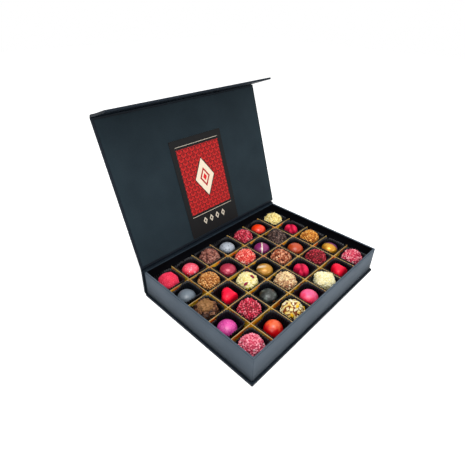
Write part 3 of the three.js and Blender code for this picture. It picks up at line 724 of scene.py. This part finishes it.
# Rolled truffles
# Balls of ganache rolled by hand in a coat that sticks to them: dried raspberry crumble, flakes, curls and
# shards of chocolate, chopped nut or powder. The bits lie close, so that the ball hardly shows between them.
BALL_RADIUS = 15.5 * MM
BALL_LUMP = 0.09
BALL_LUMPS = 2.2
BALL_FACES = 4
BALL_MIDDLE = Vector((0, 0, 16.6 * MM))
BLOCK_TURN = Matrix.Rotation(math.radians(45), 3, "Z")
SEAT_GAP = 0.1 * MM
BIT_REACH = 1.09
BIT_DENSITY = 3.0e6
SWAY_DRAW = 11.0
TONE_DRAW = 23.0
GRIT_WIDTH = 1.3 * MM
COAT_GRAIN = 0.8 * MM
COAT_RELIEF = 0.1 * MM
SPECKLE_WIDTH = 0.9 * MM
CLUMP_WIDTH = 4 * MM
CLUMP_SHARE = 0.7
NO_TONE = 0.0001
CROWN_START = 34.5 * MM
CROWN_FADE = 3 * MM

tree, given, coat_inputs = new_tree("rolled_coat", {
    "Spacing": "Float", "Least size": "Vector", "Greatest size": "Vector", "Tilt": "Float", "Bend": "Float",
    "Flaked": "Bool", "Grain": "Float", "Floor": "Float", "Seed": "Int", "Coat": "Material",
})
scatter = add_node(tree, "GeometryNodeDistributePointsOnFaces", {
    "Mesh": given["Geometry"], "Distance Min": given["Spacing"], "Density Max": BIT_DENSITY,
    "Seed": given["Seed"],
}, distribute_method="POISSON")
size = add_node(tree, "FunctionNodeRandomValue", {
    0: given["Least size"], 1: given["Greatest size"], "Seed": given["Seed"],
}, data_type="FLOAT_VECTOR")
sway_seed = add_node(tree, "ShaderNodeMath", {0: given["Seed"], 1: SWAY_DRAW}, operation="ADD")
sway = add_node(tree, "FunctionNodeRandomValue", {
    0: (-1.0, -1.0, -math.pi), 1: (1.0, 1.0, math.pi), "Seed": sway_seed,
}, data_type="FLOAT_VECTOR")
sway_most = add_node(tree, "ShaderNodeCombineXYZ", {"X": given["Tilt"], "Y": given["Tilt"], "Z": 1.0})
swayed = add_node(tree, "ShaderNodeVectorMath", {0: sway, 1: sway_most}, operation="MULTIPLY")
sway_turn = add_node(tree, "FunctionNodeEulerToRotation", {0: swayed})
lie = add_node(tree, "FunctionNodeRotateRotation", {
    0: scatter.outputs["Rotation"], 1: sway_turn,
}, rotation_space="LOCAL")
ball = add_node(tree, "GeometryNodeMeshIcoSphere", {"Radius": 0.5, "Subdivisions": 1})
crumb = add_node(tree, "GeometryNodeSetShadeSmooth", {"Geometry": ball, "Shade Smooth": False})
flat_bit = add_node(tree, "GeometryNodeMeshCube", {
    "Size": (1.0, 1.0, 1.0), "Vertices X": 6, "Vertices Y": 2, "Vertices Z": 2,
})
where = add_node(tree, "GeometryNodeInputPosition")
axes = add_node(tree, "ShaderNodeSeparateXYZ", {"Vector": where}).outputs
out_from_middle = add_node(tree, "ShaderNodeMath", {0: axes["X"], 1: 2.0}, operation="POWER")
arch = add_node(tree, "ShaderNodeMath", {0: given["Bend"], 1: out_from_middle}, operation="MULTIPLY")
drop = add_node(tree, "ShaderNodeMath", {0: 0.0, 1: arch}, operation="SUBTRACT")
bow = add_node(tree, "ShaderNodeCombineXYZ", {"Z": drop})
flake = add_node(tree, "GeometryNodeSetPosition", {"Geometry": flat_bit, "Offset": bow})
bit = add_node(tree, "GeometryNodeSwitch", {
    "Switch": given["Flaked"], "False": crumb, "True": flake,
}, input_type="GEOMETRY")
bits = add_node(tree, "GeometryNodeInstanceOnPoints", {
    "Points": scatter, "Instance": bit, "Rotation": lie, "Scale": size,
})
tone_seed = add_node(tree, "ShaderNodeMath", {0: given["Seed"], 1: TONE_DRAW}, operation="ADD")
tone = add_node(
    tree, "FunctionNodeRandomValue", {2: 0.0, 3: 1.0, "Seed": tone_seed}, data_type="FLOAT"
).outputs[1]
toned = add_node(tree, "GeometryNodeStoreNamedAttribute", {
    "Geometry": bits, "Name": "tone", "Value": tone,
}, data_type="FLOAT", domain="INSTANCE")
real = add_node(tree, "GeometryNodeRealizeInstances", {"Geometry": toned})
whole = add_node(tree, "GeometryNodeJoinGeometry", {0: given["Geometry"]})
tree.links.new(real.outputs[0], whole.inputs[0])
grit = add_node(tree, "ShaderNodeTexNoise", {"Vector": where, "Scale": 1 / GRIT_WIDTH}).outputs[1]
centred = add_node(tree, "ShaderNodeVectorMath", {0: grit, 1: (0.5, 0.5, 0.5)}, operation="SUBTRACT")
offset = add_node(tree, "ShaderNodeVectorMath", {0: centred, "Scale": given["Grain"]}, operation="SCALE")
rough = add_node(tree, "GeometryNodeSetPosition", {"Geometry": whole, "Offset": offset})
above = add_node(tree, "ShaderNodeMath", {0: axes["Z"], 1: given["Floor"]}, operation="MAXIMUM")
seated = add_node(tree, "ShaderNodeCombineXYZ", {"X": axes["X"], "Y": axes["Y"], "Z": above})
sat = add_node(tree, "GeometryNodeSetPosition", {"Geometry": rough, "Position": seated})
coated = add_node(tree, "GeometryNodeSetMaterial", {"Geometry": sat, "Material": given["Coat"]})
add_node(tree, "NodeGroupOutput", {"Geometry": coated})
coat_tree = tree


def bits_of(flaked, least, greatest, spacing, tilt=3.0, bend=0.0):
    """How one kind of coat lies: its bits' sizes and spacing in millimetres, their tilt and bend."""
    return {
        "Flaked": flaked, "Least size": [v * MM for v in least], "Greatest size": [v * MM for v in greatest],
        "Spacing": spacing * MM, "Tilt": tilt, "Bend": bend, "Grain": COAT_GRAIN,
    }


CRUMBLE = bits_of(False, (2.2, 2.0, 1.8), (6.0, 4.4, 3.8), 2.7)
POWDER = bits_of(False, (0.7, 0.7, 0.4), (1.5, 1.3, 0.7), 0.9, tilt=0.5)
NUT = bits_of(False, (2.2, 1.8, 1.6), (5.8, 4.2, 2.8), 2.6, tilt=0.7)
FLAKES = bits_of(True, (3.4, 1.6, 0.6), (7.0, 3.0, 1.1), 2.3, tilt=0.8, bend=1.3)
CURLS = bits_of(True, (6.0, 2.2, 0.7), (12.0, 4.2, 1.2), 3.0, tilt=0.5, bend=2.8)
SHAVINGS = bits_of(True, (2.4, 1.0, 0.4), (5.4, 2.0, 0.8), 1.6, tilt=0.5, bend=0.8)
SHARDS = bits_of(True, (3.8, 2.2, 0.9), (7.6, 4.0, 1.4), 4.9, tilt=0.24, bend=0.4)

COATS = {
    "raspberry_dust": (POWDER, "E02A48 FC3C62 FF5C80"),
    "milk_flake": (FLAKES, "44201A 96584A CC9886"),
    "raspberry_crumble": (CRUMBLE, "74101E DC304E F4909C"),
    "white_flake": (FLAKES, "E8CC70 FCEEA0 FFFAD0"),
    "caramel_crumble": (NUT, "84481A D08C46 F2C684"),
    "coral_crumble": (CRUMBLE, "CA3230 FF7A6A FFE2CE"),
    "dark_flake": (FLAKES, "140A08 523A34 947A70"),
    "milk_curl": (CURLS, "20100A 54301E 9A6A48"),
    "white_berry": (SHAVINGS, "E6D27C F8EEAE FFFCDA"),
    "copper_flake": (FLAKES, "58200F C46A44 ECB892"),
    "caramel_nut": (NUT, "964C10 E89C38 FFD478"),
    "pink_white_flake": (FLAKES, "9A5C46 ECC890 FFF6D2"),
    "dark_raspberry": (CRUMBLE, "54060E B41C30 D8606C"),
    "pink_crumble": (CRUMBLE, "C23C58 FF8CA2 FFC2CC"),
    "almond_shard": (SHARDS, "EAC048 F8EAAA FFFADC"),
    "white_curl": (SHAVINGS, "F0E4A0 FFF8CC FFFFE8"),
    "pink_white_crumble": (CRUMBLE, "BC2446 FA788E FFCCD2"),
}
BALL_COLOURS = {
    "almond_shard": "84441C", "white_berry": "D8C470", "white_curl": "D8CA8A", "white_flake": "C8AC58",
}
BALL_SHAPES = {"white_curl": {"power": 8.0, "share": 0.84}}
CROWN_COLOURS = {"milk_curl": ("AA7C4A", 0.65), "pink_white_flake": ("FCF0B8", 0.25)}


def coat_material(name, shades, ball=None, crown=None):
    """A dry rolled coat: each bit has a shade of its own, and the ball under it shows dark in the gaps.

    A coat may be paler on the crown, from a given height up.
    """
    material, tree, shader, place = new_material(name, roughness=0.62, specular=0.3)
    tone = add_node(tree, "ShaderNodeAttribute", attribute_name="tone").outputs["Fac"]
    speckle, clump = (
        add_node(tree, "ShaderNodeTexNoise", {"Vector": place, "Scale": 1 / width, "Detail": 2.0})
        for width in (SPECKLE_WIDTH, CLUMP_WIDTH)
    )
    blend = add_node(tree, "ShaderNodeMix", {0: CLUMP_SHARE, 2: tone, 3: clump}, data_type="FLOAT")
    dark, mid, light = shades.split()
    stops = [(0.3, dark), (0.72, light), (0.51, mid)]
    add_node(tree, "ShaderNodeValToRGB", {"Fac": blend}, stops, shader.inputs["Base Color"])
    bare = add_node(tree, "ShaderNodeMath", {0: tone, 1: NO_TONE}, operation="LESS_THAN")
    paint(tree, shader, bare, ball or dark)
    if crown:
        pale_colour, share = crown
        level = add_node(tree, "ShaderNodeSeparateXYZ", {"Vector": place}).outputs["Z"]
        pale = add_node(tree, "ShaderNodeMapRange", {
            "Value": level, "From Min": CROWN_START, "From Max": CROWN_START + CROWN_FADE, "To Max": share,
        })
        paint(tree, shader, pale, pale_colour)
    relief = {"Height": speckle, "Distance": COAT_RELIEF}
    add_node(tree, "ShaderNodeBump", relief, to=shader.inputs["Normal"])
    return material


def rolled_ball(seat, seed, power=2.0, share=1.0):
    """A lumpy ball of ganache that sits on a point. A power above 2 squares it, as a share of its radius."""
    bm = bmesh.new()
    bmesh.ops.create_icosphere(bm, subdivisions=BALL_FACES, radius=1)
    centre = seat + BALL_MIDDLE
    for vertex in bm.verts:
        way = vertex.co.normalized()
        squared = sum(abs(part) ** power for part in BLOCK_TURN @ way) ** (-1 / power)
        lump = noise.noise(BALL_LUMPS * way + Vector((seed, 2 * seed, 0)))
        vertex.co = centre + BALL_RADIUS * share * squared * (1 + BALL_LUMP * lump) * way
    return bm


def press_in(piece, seat, finish, size, bits):
    """Presses oblong bits into a coat, given the way to each from the ball's middle and the way it lies."""
    piece.data.materials.append(finish)
    bm = bmesh.new()
    bm.from_mesh(piece.data)
    centre = seat + BALL_MIDDLE
    for way, lie in bits:
        outward = Vector(way).normalized()
        across = outward.cross(Vector(lie)).normalized()
        turn = Matrix((across.cross(outward), across, outward)).transposed().to_4x4()
        place = Matrix.Translation(centre + BIT_REACH * BALL_RADIUS * outward)
        bit = bmesh.ops.create_icosphere(
            bm, subdivisions=2, radius=0.5, matrix=place @ turn @ Matrix.Diagonal((*size, 1))
        )
        for face in {face for vertex in bit["verts"] for face in vertex.link_faces}:
            face.material_index = len(piece.data.materials) - 1
    bm.to_mesh(piece.data)
    bm.free()


PRESSED_IN = {
    "white_berry": [
        ("dried_berry", "90203C B03454 C04866", Vector((7.5, 3.8, 3.0)) * MM, [
            ((0.15, -0.4, 0.9), (0.18, -0.77, -0.61)),
            ((-0.69, -0.42, 0.58), (0.78, -0.31, 0.53)),
            ((0.6, 0.6, 0.5), (1, -1, 0)),
        ]),
        ("pistachio", "9A8C14 B4A624 C8BC48", Vector((4.4, 3.4, 2.8)) * MM, [
            ((-0.78, -0.6, 0.16), (0, 0, 1)),
            ((-0.58, -0.78, 0.22), (1, 0, 0.5)),
            ((0.13, -0.94, 0.3), (1, 0, 0)),
            ((0.2, 0.8, 0.5), (1, 0, 0)),
        ]),
    ],
    "almond_shard": [
        ("candied_peel", "F4BC10 FFD024 FFE060", Vector((6.0, 4.0, 2.4)) * MM, [
            ((0.78, -0.55, 0.28), (0, 0, 1)),
            ((0.62, -0.72, 0.1), (1, 0, 0)),
            ((-0.03, -0.41, 0.91), (1, 0, 0)),
            ((-0.74, -0.48, 0.48), (0, 1, 1)),
        ]),
    ],
}

for seed, name in enumerate(name for name in chocolates if name.endswith("_truffle")):
    recipe = name[3:].removesuffix("_truffle")
    bits, shades = COATS[recipe]
    finish = "rolled_" + name[3:] + "_" + name[:2]
    coat = coat_material(finish, shades, BALL_COLOURS.get(recipe), CROWN_COLOURS.get(recipe))
    seat = seats[name]
    truffle = make_piece(name + "_rolled", rolled_ball(seat, seed, **BALL_SHAPES.get(recipe, {})))
    grow(truffle, coat_tree, coat_inputs, {
        **bits, "Floor": seat.z + SEAT_GAP, "Seed": seed, "Coat": coat,
    })
    for kind, tints, size, places in PRESSED_IN.get(recipe, ()):
        press_in(truffle, seat, coat_material(kind, tints), size, places)
    fit(truffle, name, name)

# Moulded domes and thimble
# Shells of chocolate cast in polished moulds that were sprayed with coloured cocoa butter, so the colour is
# in the surface, the gloss is high, and each has its own specks, stripe, swirl, cracks or marbling.
SPIN_STEPS = 56
PROFILE_STEPS = 20
CROWNS = {"dome": (13.1 * MM, 9 * MM), "thimble": (12.8 * MM, 12.6 * MM)}
SHARP_ANGLE = math.radians(60)
SPRAY_WIDTH = 5 * MM
SPRAY_SHARE = 0.3
SHELL_COAT = 0.15
SHELL_COAT_ROUGHNESS = 0.25


def spun(profile, middle):
    """Spins a profile of (radius, height) that ends on the axis round an upright axis through a point."""
    rings = []
    for radius, height in profile[:-1]:
        ring = []
        for step in range(SPIN_STEPS):
            angle = 2 * math.pi * step / SPIN_STEPS
            ring.append(middle + Vector((radius * math.cos(angle), radius * math.sin(angle), height)))
        rings.append(ring)
    return skin(rings, middle + Vector((0, 0, profile[-1][1])))[0]


def crown_profile(radius, start, height):
    """A round crown from its shoulder to its top."""
    profile = []
    for step in range(PROFILE_STEPS + 1):
        slope = math.pi / 2 * step / PROFILE_STEPS
        profile.append((radius * math.cos(slope), start + height * math.sin(slope)))
    return profile


def cocoa_butter(
    name, seat, height, low, high, roughness=0.3, lustre=0.0, fade=(0.4, 0.84), specular=0.5, coat=SHELL_COAT
):
    """Polished coloured cocoa butter: a clear gloss over a colour that runs with height from a low colour at
    the foot to a high one on the crown; the step is partly the spray, and partly painted shade low down and
    painted light on top.

    Returns the material, its tree, its shader and coordinates about the middle of the piece's foot.
    """
    material, tree, shader, place = new_material(name, roughness, specular, lustre)
    place = add_node(tree, "ShaderNodeMapping", {"Vector": place, "Location": -seat}).outputs[0]
    level = add_node(tree, "ShaderNodeSeparateXYZ", {"Vector": place}).outputs["Z"]
    spray = add_node(tree, "ShaderNodeTexNoise", {"Vector": place, "Scale": 1 / SPRAY_WIDTH, "Detail": 3.0})
    # The colour runs with height: darker at the foot as painted shade, lighter on the crown as painted light.
    rise = add_node(tree, "ShaderNodeMapRange", {"Value": level, "From Max": height})
    shade = add_node(tree, "ShaderNodeMix", {0: SPRAY_SHARE, 2: rise, 3: spray}, data_type="FLOAT")
    stops = [(fade[0], low), (fade[1], high)]
    add_node(tree, "ShaderNodeValToRGB", {"Fac": shade}, stops, shader.inputs["Base Color"])
    shader.inputs["Coat Weight"].default_value = coat
    shader.inputs["Coat Roughness"].default_value = SHELL_COAT_ROUGHNESS
    return material, tree, shader, place


# Each glaze runs from its low colour at the foot to its high colour on the crown, partly as painted shade and
# painted light.
GLAZES = {
    "strawberry_gloss": dict(low="F00020", high="FF6078", fade=(0.6, 0.84)),
    "silver_speckle": dict(low="5E6874", high="AEB6C0"),
    "orange_gloss": dict(low="BE0400", high="FF400C", fade=(0.58, 0.84)),
    "blue_satin": dict(low="3A4450", high="727E88", roughness=0.38),
    "ruby_pearl": dict(low="7A0A1C", high="BC3450", roughness=0.28, lustre=0.15),
    "violet_stripe": dict(low="48083A", high="8E2468"),
    "bronze_swirl": dict(low="7A4A08", high="C88E2C", roughness=0.36, lustre=0.2),
    "amber_speckle": dict(low="842206", high="C44818"),
    "magenta_crackle": dict(low="B01074", high="EC52AC", roughness=0.4),
    "dark_marble": dict(low="050605", high="2C312D", roughness=0.4, fade=(0.58, 0.84)),
    "gold_violet": dict(low="9A5808", high="DA9E24", roughness=0.32, lustre=0.4),
    "pink_gloss": dict(low="FF0030", high="FF6498", roughness=0.36, fade=(0.64, 0.84)),
    "orange": dict(low="D4000C", high="FF6838", roughness=0.36, fade=(0.7, 0.83)),
}
# Round specks: the width of the patch that each lies in, its share of that width, and its colour.
SPECKS = {
    "strawberry_gloss": (3.2 * MM, 0.36, "FFE4E6"),
    "silver_speckle": (4.0 * MM, 0.4, "3A3E44"),
    "amber_speckle": (6.5 * MM, 0.22, "5A6020"),
}
# Uneven blots: about how wide they are, where in the clouds they start and are full, and their colour.
BLOTS = {
    "strawberry_gloss": [(5 * MM, 0.66, 0.71, "FFD0D4")],
    "silver_speckle": [(6 * MM, 0.66, 0.71, "40464C")],
    "magenta_crackle": [(3 * MM, 0.6, 0.8, "F890CC")],
    "dark_marble": [(7 * MM, 0.56, 0.7, "5A645E"), (9 * MM, 0.62, 0.7, "A85A28")],
}
STRIPE_WAY = (0.69, -0.724, 0.0)
STRIPE_HALF_WIDTH = 1.2 * MM
# Where the swirl's painted highlight lies, and how far it reaches.
SWIRL_HIGHLIGHT_MIDDLE = Vector((-4.0, 5.5, 24.5)) * MM
SWIRL_HIGHLIGHT_REACH = {"From Min": 3 * MM, "From Max": 10 * MM, "To Min": 0.8, "To Max": 0.0}
SWIRL_WIDTH = 26 * MM
SWIRL_EDGE = {"From Min": 0.4, "From Max": 0.7}
CRACK_SPACING = 7 * MM
CRACK_EDGE = {"From Max": 0.06, "To Min": 0.6, "To Max": 0.0}
VIOLET_WAY = (0.99, 0.12, 0.0)
VIOLET_EDGE = {"From Min": 0.5 * MM, "From Max": 3.5 * MM}

for name in chocolates:
    form = name.rsplit("_", 1)[1]
    if form not in CROWNS:
        continue
    recipe = name[3:].removesuffix("_" + form)
    low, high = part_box(name)
    radius, height = (high.x - low.x) / 2, high.z - low.z
    seat = seats[name]
    glaze, tree, shader, place = cocoa_butter("cocoa_butter_" + recipe, seat, height, **GLAZES[recipe])
    if recipe in SPECKS:
        spacing, share, code = SPECKS[recipe]
        patch = add_node(tree, "ShaderNodeTexVoronoi", {"Vector": place, "Scale": 1 / spacing})
        speck = add_node(tree, "ShaderNodeMath", {0: patch, 1: share / 2}, operation="LESS_THAN")
        paint(tree, shader, speck, code)
    if recipe == "violet_stripe":
        side = add_node(tree, "ShaderNodeVectorMath", {0: place, 1: STRIPE_WAY}, operation="DOT_PRODUCT")
        stripe = within(tree, (side.outputs["Value"], -STRIPE_HALF_WIDTH, STRIPE_HALF_WIDTH))
        paint(tree, shader, stripe, "E4CEC0")
    elif recipe == "bronze_swirl":
        # Pale streaks of a swirl, painted only round a spot on the upper left of the crown: partly the swirl
        # and partly a painted highlight.
        swirl = add_node(tree, "ShaderNodeTexWave", {
            "Vector": place, "Scale": 1 / SWIRL_WIDTH, "Distortion": 3.0, "Detail": 1.0, "Detail Scale": 0.6,
        }, wave_type="BANDS", bands_direction="DIAGONAL")
        spot = add_node(tree, "ShaderNodeVectorMath", {0: place, 1: SWIRL_HIGHLIGHT_MIDDLE}, operation="DISTANCE")
        near_highlight = add_node(tree, "ShaderNodeMapRange", {"Value": spot.outputs["Value"], **SWIRL_HIGHLIGHT_REACH})
        pale = add_node(tree, "ShaderNodeMapRange", {"Value": swirl.outputs["Fac"], **SWIRL_EDGE})
        swirl_highlight = add_node(tree, "ShaderNodeMath", {0: near_highlight, 1: pale}, operation="MULTIPLY")
        paint(tree, shader, swirl_highlight, "FFF0D0")
    elif recipe == "magenta_crackle":
        patches = {"Vector": place, "Scale": 1 / CRACK_SPACING}
        net = add_node(tree, "ShaderNodeTexVoronoi", patches, feature="DISTANCE_TO_EDGE")
        crack = add_node(tree, "ShaderNodeMapRange", {"Value": net.outputs["Distance"], **CRACK_EDGE})
        paint(tree, shader, crack, "A81470")
    elif recipe == "gold_violet":
        side = add_node(tree, "ShaderNodeVectorMath", {0: place, 1: VIOLET_WAY}, operation="DOT_PRODUCT")
        shadow = add_node(tree, "ShaderNodeMapRange", {"Value": side.outputs["Value"], **VIOLET_EDGE})
        paint(tree, shader, shadow, "944488")
    for width, least, most, code in BLOTS.get(recipe, ()):
        cloud = add_node(tree, "ShaderNodeTexNoise", {"Vector": place, "Scale": 1 / width, "Detail": 3.0})
        blot = add_node(tree, "ShaderNodeMapRange", {"Value": cloud, "From Min": least, "From Max": most})
        paint(tree, shader, blot, code)
    shoulder, crown = CROWNS[form]
    profile = [(radius, 0.0)] + crown_profile(shoulder, height - crown, crown)
    moulded = make_piece(name + "_moulded", spun(profile, seat), glaze)
    moulded.data.set_sharp_from_angle(angle=SHARP_ANGLE)
    fit(moulded, name, name)

# Moulded hearts and lips
# Plump red hearts with a shallow notch, and pairs of cherry-red lips with a curling groove between them. They
# come from the same kind of mould as the domes.
OUTLINE_STEPS = 72
SWELL_RINGS = 18
SWELL_SHOULDER = 6.0
SWELL_ROUND = 2.8
HEART_NOTCH = 0.68
LIPS_DIP = 0.54
LIPS_DIP_FORWARD = 0.2
LIPS_DIP_LENGTH = 0.35
GROOVE_WIDTH = 2.8 * MM
GROOVE_DEPTH = 2.0 * MM
GROOVE_CURL = 2.0 * MM
GROOVE_CORE = 0.3
GROOVE_START = 0.1
GROOVE_FADE = 0.3
GROOVE_FRONT = 1.1
TURNS = {"heart": math.radians(45), "lips": math.radians(-31)}
# Foot and crown colours of each red; the lighter crown is partly painted light.
REDS = {"heart": ("FF0010", "FF163E"), "lips": ("CC1038", "EA2854")}
GLOSS = {"heart": 0.25, "lips": 0.08}
RED_ROUGHNESS = 0.4
RED_COAT = 0.05


def heart_outline(half_width):
    """The common heart curve with a softened notch, its tip towards -Y."""
    outline = []
    for step in range(OUTLINE_STEPS):
        turn = -2 * math.pi * step / OUTLINE_STEPS
        across = math.sin(turn) ** 3
        lobes = 5 * math.cos(2 * turn) + 2 * math.cos(3 * turn) + math.cos(4 * turn)
        along = (13 * math.cos(turn) - HEART_NOTCH * lobes) / 16
        outline.append(half_width * Vector((across, along, 0)))
    return outline


def lips_outline(half_width, half_length):
    """The outline of a pair of lips, the dip of the upper lip towards -X."""
    outline = []
    for step in range(OUTLINE_STEPS):
        turn = 2 * math.pi * step / OUTLINE_STEPS
        along = math.sin(turn)
        from_dip = (along + LIPS_DIP_FORWARD) / LIPS_DIP_LENGTH
        dip = LIPS_DIP * math.exp(-from_dip ** 2) if math.cos(turn) < 0 else 0
        outline.append(Vector((half_width * math.cos(turn) * (1 - dip), half_length * along, 0)))
    return outline


def swollen(outline, height):
    """A piece that swells from its outline to a soft crown."""
    rings = []
    for ring in range(SWELL_RINGS):
        level = math.sin(math.pi / 2 * ring / SWELL_RINGS)
        share = (1 - level ** SWELL_SHOULDER) ** (1 / SWELL_ROUND)
        rings.append([point * share + Vector((0, 0, level * height)) for point in outline])
    return skin(rings, Vector((0, 0, height)))[0]


for name in chocolates:
    form = name.rsplit("_", 1)[1]
    if form not in REDS:
        continue
    low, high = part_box(name)
    height = high.z - low.z
    seat = seats[name]
    turn = Matrix.Rotation(TURNS[form], 4, "Z")
    own_low, own_high = shut_box(name, turn)
    half_width, half_length, _ = (own_high - own_low) / 2
    glaze, tree, shader, place = cocoa_butter(
        "cocoa_butter_" + name, seat, height, *REDS[form], RED_ROUGHNESS, specular=GLOSS[form], coat=RED_COAT
    )
    if form == "heart":
        bm = swollen(heart_outline(half_width), height)
    else:
        bm = swollen(lips_outline(half_width, half_length), height)
        groove = bm.verts.layers.float.new("groove")
        core = Vector((0, 0, GROOVE_CORE * height))
        for vertex in bm.verts:
            curl = GROOVE_CURL * math.sin(math.pi * vertex.co.y / half_length)
            hollow = math.exp(-((vertex.co.x - curl) / GROOVE_WIDTH) ** 2)
            hollow *= min(1.0, max(0.0, vertex.co.z / height - GROOVE_START) / GROOVE_FADE)
            depth = GROOVE_DEPTH * hollow * min(1.0, GROOVE_FRONT - vertex.co.y / half_length)
            vertex.co -= depth * (vertex.co - core).normalized()
            vertex[groove] = hollow
        # The groove is painted a darker red along its hollow: painted shade in it.
        shaded = add_node(tree, "ShaderNodeAttribute", attribute_name="groove").outputs["Fac"]
        paint(tree, shader, shaded, "A0002A")
    bm.transform(Matrix.Translation(seat) @ turn)
    moulded = make_piece(name + "_moulded", bm, glaze)
    moulded.data.set_sharp_from_angle(angle=SHARP_ANGLE)
    fit(moulded, name, name)

# Stage
# A plain white floor that runs out of sight, soft light from above and from the viewer's side, and the
# camera where the photograph was taken.
FLOOR_REACH = 3.0
FLOOR_DROP = 0.1 * MM
FLOOR_GLOW = 0.65
WORLD_LIGHT = 0.45
CAMERA_PLACE = Vector((-343.8, -257.2, 376.8)) * MM
CAMERA_AZIMUTH = math.radians(-46.41)
CAMERA_ELEVATION = math.radians(33.62)
CAMERA_ROLL = math.radians(1.07)
CAMERA_LENS = 27.58
CAMERA_SENSOR = 36.0


def seen_directly(tree):
    """A mask that is 1 where the camera sees a surface, also in a gloss or through something clear."""
    rays = add_node(tree, "ShaderNodeLightPath").outputs
    mask = rays["Is Camera Ray"]
    for ray in ("Is Glossy Ray", "Is Transmission Ray"):
        mask = add_node(tree, "ShaderNodeMath", {0: mask, 1: rays[ray]}, operation="MAXIMUM")
    return mask


# White painted board is matt and even; it is lit up where it is seen, and it keeps the object's shadow.
floor_white, tree, shader, place = new_material("white_floor", roughness=0.9)
shader.inputs["Base Color"].default_value = linear("F2F2F2")
shader.inputs["Emission Color"].default_value = linear("FFFFFF")
glow = {0: seen_directly(tree), 1: FLOOR_GLOW}
add_node(tree, "ShaderNodeMath", glow, to=shader.inputs["Emission Strength"], operation="MULTIPLY")
bm = bmesh.new()
bmesh.ops.create_grid(bm, x_segments=1, y_segments=1, size=FLOOR_REACH)
bm.transform(Matrix.Translation((0, 0, -FLOOR_DROP)))
make_piece("floor", bm, floor_white)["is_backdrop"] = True

world = bpy.data.worlds.new("pale_studio")
world.use_nodes = True
bpy.context.scene.world = world
tree = world.node_tree
background = tree.nodes["Background"]
background.inputs["Color"].default_value = linear("FFFFFF")
light_shares = {"Value": seen_directly(tree), "To Min": WORLD_LIGHT, "To Max": 1.0}
add_node(tree, "ShaderNodeMapRange", light_shares, to=background.inputs["Strength"])


def soft_light(name, place, target, size, power):
    """A square soft light that looks at a point."""
    lamp = bpy.data.lights.new(name, "AREA")
    lamp.size = size
    lamp.energy = power
    light = bpy.data.objects.new(name, lamp)
    aim = (Vector(target) - Vector(place)).to_track_quat("-Z", "Y")
    light.matrix_world = Matrix.Translation(place) @ aim.to_matrix().to_4x4()
    bpy.context.scene.collection.objects.link(light)


soft_light("overhead_light", place=(-0.2, -0.1, 1.3), target=(0, 0, 0), size=0.6, power=10)
soft_light("left_light", place=(-1.3, -0.5, 0.7), target=(0, 0, 0.05), size=0.7, power=5.8)
soft_light("front_light", place=(0.3, -1.5, 0.7), target=(0, 0, 0.05), size=0.7, power=7.8)

eye = bpy.data.cameras.new("camera")
eye.lens = CAMERA_LENS
eye.sensor_width = CAMERA_SENSOR
camera = bpy.data.objects.new("camera", eye)
upright = Matrix.Rotation(CAMERA_AZIMUTH, 4, "Z") @ Matrix.Rotation(math.pi / 2 - CAMERA_ELEVATION, 4, "X")
camera.matrix_world = Matrix.Translation(CAMERA_PLACE) @ upright @ Matrix.Rotation(CAMERA_ROLL, 4, "Z")
bpy.context.scene.collection.objects.link(camera)
bpy.context.scene.camera = camera
bpy.context.scene.view_settings.view_transform = "Standard"

low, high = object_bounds()
